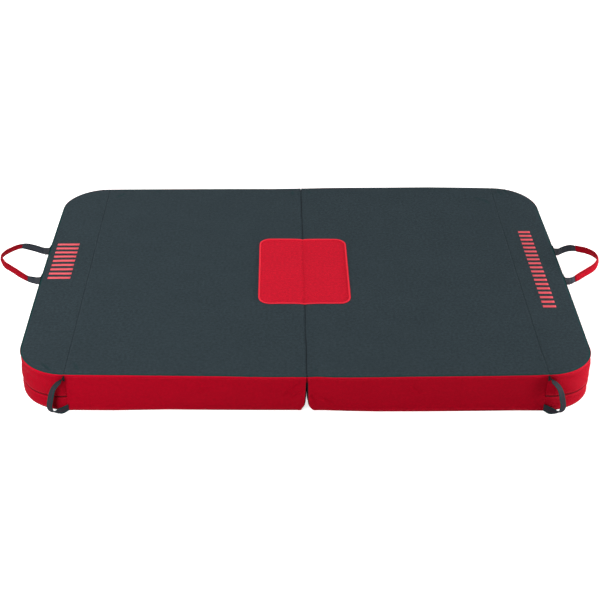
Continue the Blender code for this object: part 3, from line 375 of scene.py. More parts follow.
def plastic_finish(name, colour, roughness):
    made, tree, shader = new_material(name, colour, roughness)
    place = own_place(tree)
    scuffs = noise_of(place, 90.0, 4.0, 0.7)
    base = colour_mix(ramp(scuffs, 0.5, 0.8), colour, lighter(colour, 1.8))
    vary_roughness(shader, scuffs, roughness - 0.08, roughness + 0.14)
    dress(shader, base, noise_of(place, 1500.0, 2.0), 0.00008)
    return made


def metal_finish(name, colour, roughness):
    """Brushed metal, a little rubbed."""
    made, tree, shader = new_material(name, colour, roughness, metallic=1.0)
    place = own_place(tree)
    stretch = add_node(tree, "ShaderNodeMapping", scale=(14.0, 1.0, 14.0), vector=place)
    brushed = noise_of(stretch.outputs["Vector"], 220.0)
    vary_roughness(shader, brushed, roughness - 0.08, roughness + 0.18)
    base = colour_mix(ramp(noise_of(place, 160.0, 4.0), 0.45, 0.75), colour, lighter(colour, 0.78))
    dress(shader, base, brushed, 0.00006)
    return made


SLATE = (0.0335, 0.0485, 0.0565)
RED = (0.338, 0.0003, 0.0104)
# Painted shade of the landing cloth, along its borders and in its creases.
SLATE_SHADE = (0.007, 0.040, 0.040)
LOOP_EDGE = (0.006, 0.026, 0.028)
FINISHES = {}


def add_finish(maker, name, *values, **options):
    FINISHES[name] = maker(name, *values, **options)


add_finish(woven_cloth, "slate_cloth", SLATE, 0.0009, 0.00016, 0.78, mottle=0.30, dark=SLATE_SHADE)
add_finish(woven_cloth, "red_cloth", RED, 0.0009, 0.00016, 0.75, mottle=0.18)
add_finish(woven_cloth, "lining_cloth", (0.026, 0.032, 0.038), 0.0014, 0.0003, 0.82, grime=0.12)
add_finish(woven_cloth, "patch_cloth", (0.66, 0.010, 0.030), 0.0008, 0.00016, 0.70)
add_finish(thread_finish, "patch_border", (0.80, 0.012, 0.035))
add_finish(print_finish, "print", (0.78, 0.070, 0.095))
add_finish(webbing_cloth, "webbing", (0.034, 0.043, 0.052))
add_finish(
    webbing_cloth, "handle_webbing", (0.038, 0.047, 0.059), half_width=HANDLE_WIDTH / 2, specular=0.06
)
add_finish(
    webbing_cloth,
    "loop_webbing",
    (0.023, 0.021, 0.028),
    half_width=0.0095,
    edge_colour=LOOP_EDGE,
    specular=0.06,
)
add_finish(woven_cloth, "strap_cloth", (0.030, 0.036, 0.042), 0.0012, 0.0003, 0.80, grime=0.08)
add_finish(woven_cloth, "sleeve_cloth", (0.34, 0.0008, 0.010), 0.0009, 0.00018, 0.72, mottle=0.22)
add_finish(thread_finish, "red_thread", (0.52, 0.006, 0.024))
add_finish(thread_finish, "dark_thread", (0.030, 0.040, 0.048))
add_finish(plastic_finish, "zip_coil", (0.012, 0.012, 0.014), 0.42)
add_finish(webbing_cloth, "zip_tape", (0.050, 0.001, 0.004), 0.0011, 0.75)
add_finish(plastic_finish, "painted_metal", (0.020, 0.020, 0.023), 0.32)
add_finish(plastic_finish, "black_plastic", (0.018, 0.018, 0.020), 0.42)
add_finish(metal_finish, "aluminium", (0.66, 0.67, 0.69), 0.28)
add_finish(foam_finish, "closed_cell_foam", (0.18, 0.19, 0.20), 0.0012, 0.0001, 0.85)
add_finish(foam_finish, "open_cell_foam", (0.62, 0.58, 0.44), 0.0022, 0.0006, 0.95)


# Meshes.


def linked(name, mesh, finish, smooth=True):
    """A mesh as a named piece in its finish."""
    made = bpy.data.objects.new(name, mesh)
    scene.collection.objects.link(made)
    mesh.materials.append(FINISHES[finish])
    if smooth:
        mesh.shade_smooth()
    return made


def give_uv(mesh, places):
    """Lays a mesh's cloth map out by one place, in metres, for each of its vertices."""
    layer = mesh.uv_layers.get("cloth") or mesh.uv_layers.new(name="cloth")
    corners = np.empty(len(mesh.loops), np.int32)
    mesh.loops.foreach_get("vertex_index", corners)
    layer.data.foreach_set("uv", np.asarray(places, np.float32)[corners].ravel())


def give_painted_light(mesh, tones):
    """Sets the painted light on a mesh's cloth, mostly along its edges: a painted highlight above zero,
    painted shade below it.
    """
    layer = mesh.attributes.get("painted_light_tone") or mesh.attributes.new("painted_light_tone", "FLOAT", "POINT")
    layer.data.foreach_set("value", np.asarray(tones, np.float32).ravel())


def mesh_of(name, vertices, faces):
    mesh = bpy.data.meshes.new(name)
    mesh.from_pydata(vertices, [], faces)
    return mesh


def grid_faces(shape, flip, start=0):
    """Four-sided faces between rows and columns of places."""
    index = np.arange(shape[0] * shape[1]).reshape(shape[:2]) + start
    faces = np.stack([index[:-1, :-1], index[:-1, 1:], index[1:, 1:], index[1:, :-1]], -1).reshape(-1, 4)
    return (faces[:, ::-1] if flip else faces).tolist()


def grid_piece(name, points, uv, finish, flip=False):
    """A sheet of cloth through rows of places."""
    mesh = mesh_of(name, points.reshape(-1, 3).tolist(), grid_faces(points.shape, flip))
    give_uv(mesh, uv.reshape(-1, 2))
    return linked(name, mesh, finish)


def select_only(*pieces):
    bpy.ops.object.select_all(action="DESELECT")
    for piece in pieces:
        piece.select_set(True)
    bpy.context.view_layer.objects.active = pieces[0]


def use_modifier(piece, kind, **values):
    """Adds a modifier and applies it."""
    select_only(piece)
    added = piece.modifiers.new(kind.title(), kind)
    for key, value in values.items():
        setattr(added, key, value)
    bpy.ops.object.modifier_apply(modifier=added.name)
    piece.select_set(False)


def places_of(mesh):
    places = np.empty(len(mesh.vertices) * 3, np.float64)
    mesh.vertices.foreach_get("co", places)
    return places.reshape(-1, 3)


def set_places(mesh, places):
    mesh.vertices.foreach_set("co", np.asarray(places, np.float32).ravel())
    mesh.update()


def spaced(length, cell, first=(0,), last=(0,)):
    """Distances from 0 to a length: given ones near its two ends, and even cells between."""
    start, stop = first[-1], length - last[-1]
    count = max(1, round((stop - start) / cell))
    middle = [start + (stop - start) * k / count for k in range(count + 1)]
    return list(first[:-1]) + middle + [length - gap for gap in reversed(last[:-1])]


# Covers.

CELL, UNDER_CELL = 0.0065, 0.0095
NEAR_EDGE = (0, 0.0008, 0.0018, 0.0034, 0.0058, 0.0100)
NEAR_SEAM = (0, 0.0010, 0.0025, 0.0050, 0.0100)
TOP_GAPE = UPPER_LEVELS[-1][4]


def depth_shares(cell):
    """Shares from -1 to 1 across the pad's depth, closer together near its two edges."""
    edge = PAD_DEPTH / 2
    return [d / edge - 1 for d in spaced(2 * edge, cell, NEAR_EDGE, NEAR_EDGE)]


def side_bow(x):
    return SIDE_BOW * math.cos(math.pi / 2 * min(1.0, abs(x) / SEAM_X))


def end_bow(y):
    return END_BOW * math.cos(math.pi / 2 * min(1.0, abs(y) / ARC_Y))


def nearest_edge(*distances):
    """The least of some distances, rounded where two are nearly alike."""
    floor = 1e-5
    return sum(max(floor, d) ** -5 for d in distances) ** -0.2


def inset_of(x, y):
    """How far inside the outline a place of the landing side lies."""
    x, y = abs(x), abs(y)
    if x > SEAM_X and y > ARC_Y:
        edge = CORNER_RADIUS - math.hypot(x - SEAM_X, y - ARC_Y)
        return nearest_edge(edge, x - TOP_GAPE)
    side = PAD_DEPTH / 2 + side_bow(x) - y
    end = END_X + end_bow(y) - x
    return nearest_edge(side, end, x - TOP_GAPE)


def outer_inset(x, y):
    """How far inside the outline some places lie, with no account of the fold."""
    x, y = np.abs(x), np.abs(y)
    side = PAD_DEPTH / 2 + SIDE_BOW * np.cos(math.pi / 2 * np.minimum(1, x / SEAM_X)) - y
    end = END_X + END_BOW * np.cos(math.pi / 2 * np.minimum(1, y / ARC_Y)) - x
    corner = CORNER_RADIUS - np.hypot(x - SEAM_X, y - ARC_Y)
    return np.where((x > SEAM_X) & (y > ARC_Y), corner, np.minimum(side, end))


def crown_height(inset):
    rise = ROLL * (1 - hump(max(0.0, inset - GROOVE), 0.0022))
    return SEAM_HEIGHT - CLEAR + rise + (CROWN - ROLL) * smooth_between(CROWN_ROWS, inset / CROWN_REACH)[0]


def top_grid(part):
    """Places on the landing cloth of a +X half, for the main panel or for the end panel."""
    radius = CORNER_RADIUS - GROOVE
    if part == "main":
        stations = [TOP_GAPE + d for d in spaced(SEAM_X - TOP_GAPE, CELL, NEAR_EDGE, NEAR_SEAM)]
    else:
        stations = [d / radius for d in spaced(radius * math.pi / 2, CELL, NEAR_SEAM)]
    points = []
    for at in stations:
        row = []
        for share in depth_shares(CELL):
            if part == "main":
                x, y = at, share * (PAD_DEPTH / 2 + side_bow(at) - GROOVE)
            else:
                y = share * (ARC_Y + radius * math.cos(at))
                x = SEAM_X + radius * math.sin(at) + end_bow(y) * math.sin(at) ** 8
            z = crown_height(inset_of(x, y)) - 0.0009 * hump(x - SEAM_X, 0.0016)
            row.append((x, y, z))
        points.append(row)
    return np.array(points)


def wall_stations():
    """Stations of a half's walls: kind, place, metres from the corner seam, metres travelled."""
    long_run = SEAM_X - TOP_GAPE
    front = [("long", d / long_run, long_run - d, d) for d in spaced(long_run, CELL, NEAR_EDGE, NEAR_SEAM)]
    arc_run = CORNER_RADIUS * math.pi / 2
    arc = spaced(arc_run, CELL, NEAR_SEAM)[:-1]
    end = [("arc", d / CORNER_RADIUS - math.pi / 2, d, long_run + d) for d in arc]
    end += [("end", d - ARC_Y, arc_run + d, long_run + arc_run + d) for d in spaced(ARC_Y, CELL)]
    return front, end


def edge_roll(distance):
    """How cloth rolls out beside a seam and sinks into it, by the distance from the seam."""
    return ROLL * 0.8 * hump(distance - 0.0045, 0.0034) - GROOVE * hump(distance, 0.0013)


def wall_place(station, z, levels, rolls=()):
    """Plan place of a wall at a station and a height on the front half of a +X half."""
    kind, at, to_seam = station[:3]
    long_wall, corner, end_wall, gape = smooth_between(levels, z)
    pull = 0.66 * hump(to_seam, 0.017) + 0.34 * hump(to_seam, 0.050)
    flat = long_wall if kind == "long" else end_wall
    top_roll = 0.15 if kind == "end" else 1.0
    if kind == "arc":
        top_roll = 1 - 0.85 * smooth_step(-0.9, -0.2, at)
    out = top_roll * edge_roll(SEAM_HEIGHT - z) + 0.8 * edge_roll(z) - (flat + (corner - flat) * pull)
    out -= VALLEY * hump(to_seam, VALLEY_REACH[kind]) * hump(z - VALLEY_Z, VALLEY_SPAN)
    out += sum(edge_roll(abs(z - roll)) * 0.5 for roll in rolls)
    out -= 0.0011 * hump(to_seam, 0.0014)
    if kind == "long":
        x = gape + (SEAM_X - gape) * at
        out += 0.8 * edge_roll(x - gape)
        return x, -(PAD_DEPTH / 2 + side_bow(x) + out)
    if kind == "arc":
        radius = CORNER_RADIUS + out
        return SEAM_X + radius * math.cos(at), -ARC_Y + radius * math.sin(at)
    above_zip = smooth_step(ZIP_TOP, ZIP_TOP + 0.014, z)
    return END_X + out + end_bow(at) * above_zip, at


LOWER_HEIGHTS = (
    *(0.0004, 0.0011, 0.0022, 0.0038, 0.0062, 0.0095, 0.0140),
    *(0.0190, 0.0245, 0.0300, 0.0355, 0.0405),
)
LIP_HEIGHTS = (0.0440, 0.0468, 0.0484, 0.0491)
UPPER_LIP_HEIGHTS = (0.0509, 0.0516, 0.0532, 0.0560)
UPPER_HEIGHTS = (
    *(0.0600 + 0.0060 * k for k in range(9)),
    *(0.1130, 0.1160, 0.1182, 0.1200, 0.1214, 0.1224, 0.1231, 0.1234),
)
WHOLE_HEIGHTS = (*LOWER_HEIGHTS, *LIP_HEIGHTS[:2], ZIP_HEIGHT, *UPPER_LIP_HEIGHTS[2:], *UPPER_HEIGHTS)


def wall_grids():
    """The four walls of a +X half as rows of places and their cloth maps."""
    front, end = wall_stations()
    both_ways = 2 * end[-1][3]
    back = [(kind, at, seam, both_ways - run) for kind, at, seam, run in reversed(front)]
    round_end = [(station, 1) for station in end]
    round_end += [((kind, at, seam, both_ways - run), -1) for kind, at, seam, run in reversed(end[:-1])]
    lower, upper = LOWER_HEIGHTS + LIP_HEIGHTS, UPPER_LIP_HEIGHTS + UPPER_HEIGHTS
    made = {}
    for label, stations, heights, levels, rolls in (
        ("front_wall", [(station, 1) for station in front], WHOLE_HEIGHTS, WALL_LEVELS, ()),
        ("end_wall_lower", round_end, lower, LOWER_LEVELS, (LIP_HEIGHTS[-1],)),
        ("end_wall_upper", round_end, upper, UPPER_LEVELS, (UPPER_LIP_HEIGHTS[0],)),
        ("back_wall", [(station, -1) for station in back], WHOLE_HEIGHTS, WALL_LEVELS, ()),
    ):
        points, uv = [], []
        for z in heights:
            row = [(wall_place(station, z, levels, rolls), face) for station, face in stations]
            points.append([(x, y * face, z) for (x, y), face in row])
            uv.append([(station[3], z) for station, _ in stations])
        made[label] = (np.array(points), np.array(uv))
    return made


def border_distance(points):
    """Metres along a sheet from each place to the sheet's nearest border."""
    along = np.linalg.norm(np.diff(points, axis=1), axis=2)
    across = np.linalg.norm(np.diff(points, axis=0), axis=2)
    from_left = np.concatenate([np.zeros((len(points), 1)), np.cumsum(along, 1)], 1)
    from_low = np.concatenate([np.zeros((1, points.shape[1])), np.cumsum(across, 0)], 0)
    sides = (from_left, from_left[:, -1:] - from_left, from_low, from_low[-1:, :] - from_low)
    return np.minimum.reduce(sides)


# How the cover's cloth settles. The order counts: the least shrink is set before the most.
SETTLE_STEPS = 20
SETTLE_VALUES = {
    "quality": 4,
    "mass": 0.25,
    "air_damping": 4,
    "tension_stiffness": 18,
    "compression_stiffness": 18,
    "shear_stiffness": 6,
    "bending_stiffness": 0.35,
    "tension_damping": 12,
    "compression_damping": 12,
    "vertex_group_mass": "held",
    "pin_stiffness": 12,
    "vertex_group_shrink": "loose",
    "shrink_min": 0.0,
}
# Cloth is held this near a seam, and gathers over this distance past it.
SEAM_HOLD, GATHER_REACH, LEAST_WEIGHT = 0.012, 0.035, 0.004


def settle(sheets, spare, pressure, cap):
    """Lets filled cloth swell and gather between its seams, with no more than a capped move."""
    vertices, faces, held, loose = [], [], [], []
    for points, flip in sheets:
        faces += grid_faces(points.shape, flip, len(vertices))
        vertices += points.reshape(-1, 3).tolist()
        edge = border_distance(points)
        held += np.clip(1.35 - edge / SEAM_HOLD, 0, 1).ravel().tolist()
        loose += np.exp(-(((edge - SEAM_HOLD) / GATHER_REACH) ** 2)).ravel().tolist()
    mesh = mesh_of("settling", vertices, faces)
    cloth = bpy.data.objects.new("settling", mesh)
    scene.collection.objects.link(cloth)
    for name, weights in (("held", held), ("loose", loose)):
        group = cloth.vertex_groups.new(name=name)
        for k, weight in enumerate(weights):
            if weight > LEAST_WEIGHT:
                group.add([k], weight, "REPLACE")
    modifier = cloth.modifiers.new("Cloth", "CLOTH")
    for key, value in SETTLE_VALUES.items():
        setattr(modifier.settings, key, value)
    modifier.settings.shrink_max = -spare
    modifier.settings.use_pressure = True
    modifier.settings.uniform_pressure_force = pressure
    modifier.settings.effector_weights.gravity = 0
    modifier.collision_settings.use_collision = False
    modifier.point_cache.frame_start, modifier.point_cache.frame_end = 1, SETTLE_STEPS
    for number in range(1, SETTLE_STEPS + 1):
        scene.frame_set(number)
    settled = cloth.evaluated_get(bpy.context.evaluated_depsgraph_get())
    after, before = places_of(settled.data), np.array(vertices)
    move = after - before
    far = np.linalg.norm(move, axis=1, keepdims=True)
    move *= np.minimum(1, cap / np.maximum(far, 1e-9))
    bpy.data.objects.remove(cloth)
    bpy.data.meshes.remove(mesh)
    scene.frame_set(1)
    ends = np.cumsum([points.shape[0] * points.shape[1] for points, _ in sheets])
    parts = np.split(before + move, ends[:-1])
    return [part.reshape(points.shape) for part, (points, _) in zip(parts, sheets)]


def mirrored(points, sign):
    return points * np.array([sign, 1, 1])


def ripples(points, seed, size):
    """Slow unevenness of cloth over foam, a little different in each piece."""
    rng = np.random.default_rng(seed)
    total = np.zeros(points.shape[:2])
    for _ in range(9):
        heading = rng.normal(size=3)
        heading *= 2 * math.pi / rng.uniform(0.06, 0.26) / np.linalg.norm(heading)
        total += np.sin(points @ heading + rng.uniform(0, 7))
    return total * size / 3


CREASING = 1.9


def crease(points, start, end, depth, width, rims=0.45):
    """Presses a crease into a sheet lying flat, from one place to another, with low rims beside it."""
    start, end = np.array(start), np.array(end)
    run = end - start
    length = np.linalg.norm(run)
    along = (points[..., :2] - start) @ run / length**2
    beside = (points[..., 0] - start[0]) * run[1] / length - (points[..., 1] - start[1]) * run[0] / length
    fade = smoothed(np.minimum(along, 1 - along) * 3.2)
    near, far = (np.exp(-(((beside + shift) / width) ** 2)) for shift in (-2 * width, 2 * width))
    shape = rims * (near + far) - np.exp(-((beside / width) ** 2))
    points[..., 2] += CREASING * depth * fade * shape


def wall_crease(points, start, end, depth, width):
    """Presses a crease into a long wall, from one (x, z) place to another."""
    turned = points[..., [0, 2, 1]].copy()
    face = np.sign(points[..., 1].mean())
    turned[..., 2] = 0
    crease(turned, start, end, depth, width, 0.6)
    points[..., 1] += face * turned[..., 2]


# Creases that the photo shows on the landing side: the two ends, then depth and width.
TOP_CREASES = {
    "left": (
        ((-0.7525, -0.5016), (-0.7140, -0.5416), 0.0014, 0.0034),
        ((-0.6603, -0.4978), (-0.6387, -0.5454), 0.0011, 0.0034),
        ((-0.6536, 0.4862), (-0.6180, 0.5284), 0.0013, 0.0040),
        ((-0.5200, 0.5300), (-0.4920, 0.5480), 0.0008, 0.0040),
        ((-0.0260, 0.5560), (-0.0330, 0.5080), 0.0010, 0.0036),
        ((-0.0160, -0.5570), (-0.0240, -0.5200), 0.0009, 0.0032),
    ),
    "right": (
        ((0.7170, 0.5578), (0.7317, 0.5100), 0.0012, 0.0036),
        ((0.6988, 0.5447), (0.7122, 0.4926), 0.0011, 0.0034),
        ((0.6395, 0.4818), (0.6603, 0.4354), 0.0011, 0.0038),
        ((0.6082, 0.4861), (0.6522, 0.4522), 0.0010, 0.0038),
        ((0.0240, 0.5560), (0.0310, 0.5140), 0.0010, 0.0036),
        ((0.0180, -0.5560), (0.0250, -0.5240), 0.0008, 0.0032),
    ),
}
# Creases of the front walls near the fold, in x and z.
WALL_CREASES = {
    "left": (
        ((-0.0654, 0.0578), (-0.0164, 0.1100), 0.0016, 0.0055),
        ((-0.0473, 0.0465), (-0.0116, 0.0860), 0.0012, 0.0050),
        ((-0.3100, 0.0700), (-0.2620, 0.0980), 0.0009, 0.0060),
    ),
    "right": (
        ((0.0111, 0.0691), (0.0298, 0.0292), 0.0014, 0.0050),
        ((0.0473, 0.0577), (0.0754, 0.0177), 0.0013, 0.0050),
        ((0.3300, 0.0600), (0.2900, 0.0940), 0.0009, 0.0060),
    ),
}


def press_flat(points, side):
    """Holds the end wall's cloth down under whatever is sewn on it."""
    held = [
        (HANDLE_Y + y, HANDLE_Z, ANCHOR_HALF_LENGTH, HANDLE_WIDTH / 2, ANCHOR_FACE)
        for y in (-HANDLE_HALF_SPAN, HANDLE_HALF_SPAN)
    ]
    if side == "left":
        z = CATCH_FOOT + CATCH_HEIGHT / 2
        held += [(y, z, CATCH_WIDTH / 2, CATCH_HEIGHT / 2, None) for y in (-CATCH_Y, CATCH_Y)]
    outward = np.sign(points[..., 0].mean())
    for y, z, half_y, half_z, face in held:
        past_y = np.maximum(0, np.abs(points[..., 1] - y) - half_y)
        past_z = np.maximum(0, np.abs(points[..., 2] - z) - half_z)
        if face is None:
            levels = np.array([smooth_between(UPPER_LEVELS, height)[2] for height in points[:, 0, 2]])
            face = (END_X + end_bow(y) - levels + CLEAR)[:, None]
        limit = face - CLEAR + 0.45 * np.maximum(0, np.hypot(past_y, past_z) - 0.002)
        points[..., 0] = outward * np.minimum(np.abs(points[..., 0]), limit)


# Sheets that settle together, the axis that they face, their spare cloth, pressure and largest move.
SETTLED_GROUPS = (
    (("top_panel", "top_end_panel"), 2, 0.020, 0.0, 0.0011),
    (("front_wall", "back_wall", "end_wall_lower", "end_wall_upper"), 1, 0.030, 2.5, 0.0042),
)


def cover_sheets(side, seed):
    """Places and cloth maps of one half's cover, settled and creased."""
    sign = SIDES[side]
    made = {"top_panel": (top_grid("main"), None), "top_end_panel": (top_grid("end"), None)}
    made.update(wall_grids())
    sheets, maps = {}, {}
    for label, (points, uv) in made.items():
        points = mirrored(points, sign)
        maps[label] = points[..., :2] if uv is None else uv * np.array([sign, 1])
        sheets[label] = points
    flips = {label: (sign > 0) == label.startswith("top") for label in sheets}
    for group, axis, spare, pressure, cap in SETTLED_GROUPS:
        shaken = []
        for k, label in enumerate(group):
            points = sheets[label].copy()
            away = np.minimum(1, border_distance(points) / 0.02)
            points[..., axis] += ripples(sheets[label], seed + k, 0.0004) * away
            shaken.append((points, flips[label]))
        sheets.update(zip(group, settle(shaken, spare, pressure, cap)))
    press_flat(sheets["end_wall_upper"], side)
    lower = sheets["end_wall_lower"]
    lower[..., 0] = np.clip(lower[..., 0], -PULL_FACE + 0.0004, PULL_FACE - 0.0004)
    for label in ("top_panel", "top_end_panel"):
        for start, end, depth, width in TOP_CREASES[side]:
            crease(sheets[label], start, end, depth, width)
        sheets[label][..., 2] += ripples(sheets[label], seed + 20, 0.00022)
    for start, end, depth, width in WALL_CREASES[side]:
        wall_crease(sheets["front_wall"], start, end, depth, width)
    return sheets, maps, flips


# The underside and the inner wall of the fold.


def bottom_grid(hollow):
    """Places on the underside of a +X half, with the harness's hollow in it where wanted."""
    front, end = wall_stations()
    low = LOWER_HEIGHTS[0]
    stations = front + [station for station in end if station[0] == "arc"] + [("end", -ARC_Y, 0.23, 0)]
    gape = LOWER_LEVELS[0][4]
    rows = []
    for station in stations:
        x, y = wall_place(station, low, LOWER_LEVELS)
        row = []
        for share in depth_shares(UNDER_CELL):
            at = share * abs(y)
            to_side = abs(y) - abs(at) if station[0] == "long" else CORNER_RADIUS
            to_arc = 1.0
            if x > SEAM_X and abs(at) > ARC_Y:
                to_arc = abs(math.hypot(x - SEAM_X, abs(at) - ARC_Y) - (CORNER_RADIUS - DRAW_IN))
                to_side = 1.0
            inset = nearest_edge(to_side, to_arc, max(0, END_X - DRAW_IN - x), x - gape)
            rise = 0.0
            if hollow:
                rise = (STRAP_HOLLOW - CLEAR) * smooth_between(HOLLOW_ROWS, inset / STRAP_HOLLOW_REACH)[0]
            row.append((x, at, CLEAR + rise))
        rows.append(row)
    return np.array(rows)


def fold_wall_grid():
    """The inner wall of the fold: it keeps the gape at its two ends, and swells shut between them."""
    station = ("long", 0.0, SEAM_X, 0.0)
    points = []
    for z in WHOLE_HEIGHTS:
        x, y = wall_place(station, z, WALL_LEVELS)
        swollen = CLEAR + (x - CLEAR) * (1 - smooth_step(0.014, 0.036, z))
        row = []
        for share in depth_shares(UNDER_CELL):
            deep = smooth_step(0.002, 0.030, (1 - abs(share)) * abs(y))
            row.append((x + (swollen - x) * deep, share * abs(y), z))
        points.append(row)
    return np.array(points)


def thick_cloth(piece, thickness=CLOTH):
    """Gives a sheet its thickness, inwards from its outer face."""
    use_modifier(piece, "SOLIDIFY", thickness=thickness, offset=-1.0, use_rim=True)
    places = places_of(piece.data)
    places[:, 2] = np.maximum(places[:, 2], CLEAR / 2)
    set_places(piece.data, places)
    return piece


COVER_FINISHES = {
    "top_panel": "slate_cloth",
    "top_end_panel": "slate_cloth",
    "front_wall": "red_cloth",
    "back_wall": "red_cloth",
    "end_wall_lower": "red_cloth",
    "end_wall_upper": "red_cloth",
    "bottom_panel": "lining_cloth",
    "fold_wall": "lining_cloth",
}


# The painted highlight and shade under the walls' top edges, the painted shadow along their feet, and how
# soft both are.
TOP_LINE, FOOT_LINE, LINE_FADE = 0.0062, 0.0032, 0.0016


def painted_light_tones(label, side, points):
    """Painted light on a cover's cloth: painted highlight and shade beside its seams, and painted shade in
    its creases.
    """
    if label.startswith("top"):
        # A flat copy of the landing cloth with only its creases pressed in: their depth sets the painted
        # shade in the creases.
        crease_shade = np.zeros_like(points)
        crease_shade[..., :2] = points[..., :2]
        for start, end, depth, width in TOP_CREASES[side]:
            crease(crease_shade, start, end, depth, width)
        # Painted shade along the panel's border, beside its seam.
        tones = -np.clip((0.0066 - outer_inset(points[..., 0], points[..., 1])) / 0.0014, 0, 1)
        return np.maximum(-1, tones + 220 * np.minimum(0, crease_shade[..., 2]))
    z = points[..., 2]
    # Painted light under the top edge: a highlight where the walls face front and back, painted shade where
    # they face the ends.
    facing = np.clip((np.abs(points[..., 1]) - ARC_Y - 0.030) / 0.050, -1.0, 0.52)
    tones = facing * np.clip((z - (SEAM_HEIGHT - TOP_LINE)) / LINE_FADE, 0, 1)
    # Painted shadow along the foot, where the wall meets the floor.
    tones -= 0.35 * np.clip((FOOT_LINE - z) / LINE_FADE, 0, 1)
    if label.startswith("end_wall"):
        # Painted shade along the zip's lips, and a painted highlight on the strip just below them.
        tones -= 0.55 * np.clip((0.0024 - np.abs(z - ZIP_HEIGHT)) / 0.0010, 0, 1)
        tones += 0.18 * np.clip(1 - np.abs(z - 0.0440) / 0.0022, 0, 1)
    if label in ("front_wall", "back_wall"):
        # Painted shade where the long walls turn into the gap at the fold.
        to_fold = np.abs(points[..., 0]) - np.abs(points[..., 0]).min(axis=1, keepdims=True)
        fold_shade = np.clip((0.0030 - to_fold) / 0.0012, 0, 1) * np.clip((z - 0.020) / 0.010, 0, 1)
        fold_shade *= np.clip((0.110 - z) / 0.006, 0, 1)
        tones = tones * (1 - fold_shade) - fold_shade
    return tones


# How far the foot of the walls spreads, by x, and how the top edges rise and sag, front and back.
SPREAD = (
    *((-0.83, 0.0075), (-0.70, 0.0075), (-0.55, 0.0065), (-0.47, 0.0030), (-0.40, 0.0), (0.0, 0.0)),
    *((0.05, 0.0010), (0.13, 0.0055), (0.20, 0.0080), (0.35, 0.0095), (0.60, 0.0100), (0.68, 0.0120)),
    (0.83, 0.0120),
)
FRONT_RISE = (
    *((-0.70, 0.0027), (-0.50, 0.0033), (-0.35, 0.0030), (-0.25, 0.0026), (-0.17, 0.0008), (-0.10, 0.0)),
    *((0.0, 0.0003), (0.03, 0.0014), (0.07, -0.0010), (0.13, -0.0014), (0.20, -0.0010), (0.30, 0.0)),
    *((0.55, 0.0), (0.64, 0.0009), (0.70, 0.0022)),
)
BACK_RISE = (
    *((-0.70, -0.0022), (-0.10, -0.0026), (0.0, -0.0008), (0.10, 0.0022), (0.30, 0.0050)),
    *((0.45, 0.0078), (0.60, 0.0078), (0.70, 0.0070)),
)
# How the rounded corners at the front stand out from their own outline, by height.
LEFT_BULGE = (
    *((0.0, 0.0020), (0.017, 0.0034), (0.035, 0.0048), (0.048, 0.0062), (0.060, 0.0058)),
    *((0.070, 0.0028), (0.080, -0.0008), (0.090, -0.0032), (0.100, -0.0018), (0.112, 0.0)),
)
RIGHT_BULGE = (
    *((0.0, 0.0), (0.011, 0.0012), (0.027, 0.0030), (0.040, 0.0080), (0.050, 0.0088)),
    *((0.060, 0.0070), (0.071, 0.0026), (0.085, 0.0012), (0.098, 0.0016), (0.115, 0.0)),
)
FOOT_HEIGHT, FOOT_REACH = 0.046, 0.090


def read_off(table, at):
    """Values on straight lines between a table's rows."""
    return np.interp(at, *np.transpose(table))


def stood(piece, rising=True):
    """Spreads the walls' feet on the ground, and lets the top edges rise and sag as they do in the photo."""
    places = places_of(piece.data)
    x, y, z = places.T.copy()
    past = np.stack([np.maximum(0, np.abs(x) - SEAM_X), np.maximum(0, np.abs(y) - ARC_Y)])
    far = np.maximum(np.linalg.norm(past, axis=0), 1e-9)
    along_wall = np.abs(x) <= SEAM_X
    out_x = np.where(along_wall, 0, past[0] / far) * np.sign(x)
    out_y = np.where(along_wall, 1, past[1] / far) * np.sign(y)
    spread = read_off(SPREAD, x) * np.clip(1 - z / FOOT_HEIGHT, 0, 1) ** 2
    spread *= smoothed(1 - outer_inset(x, y) / FOOT_REACH) * smoothed((np.abs(y) - 0.25) / (ARC_Y - 0.25))
    places[:, 0] += out_x * spread
    places[:, 1] += out_y * spread
    rise = np.where(y < 0, read_off(FRONT_RISE, x), read_off(BACK_RISE, x))
    if not rising:
        rise = np.minimum(rise, 0)
    near = np.exp(-(((PAD_DEPTH / 2 - np.abs(y)) / 0.12) ** 2))
    places[:, 2] += rise * near * np.clip(z / SEAM_HEIGHT, 0, 1.1) ** 1.5
    places[:, 0] += 0.0045 * smoothed((x - 0.62) / 0.15) * smoothed((-y - 0.40) / 0.09)
    bulge = np.where(x < 0, read_off(LEFT_BULGE, z), read_off(RIGHT_BULGE, z))
    bulge *= smoothed((-y - 0.395) / 0.06) * smoothed((np.abs(x) - SEAM_X - 0.03) / 0.08)
    places[:, 0] += out_x * bulge
    places[:, 1] += out_y * bulge
    dip = 0.0065 * np.exp(-(((z - ZIP_HEIGHT) / 0.022) ** 2)) * smoothed((-y - 0.40) / 0.06)
    places[:, 2] -= np.where(along_wall, 0, dip)
    tight = np.clip((0.045 + x) / 0.020, 0, 1) * (x < 0) * np.clip(1 - z / 0.013, 0, 1) ** 2
    places[:, 0] += 0.0062 * tight * smoothed((-y - 0.45) / 0.08)
    set_places(piece.data, places)


def put_cover(label, side, points, uv, flip):
    finish = COVER_FINISHES[label]
    piece = grid_piece(f"{label}_{side}_cloth", points, uv, finish, flip)
    if finish != "lining_cloth":
        give_painted_light(piece.data, painted_light_tones(label, side, points))
    thick_cloth(piece)
    stood(piece)
    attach(piece, f"{side}_half")
    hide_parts(f"{label}_{side}")


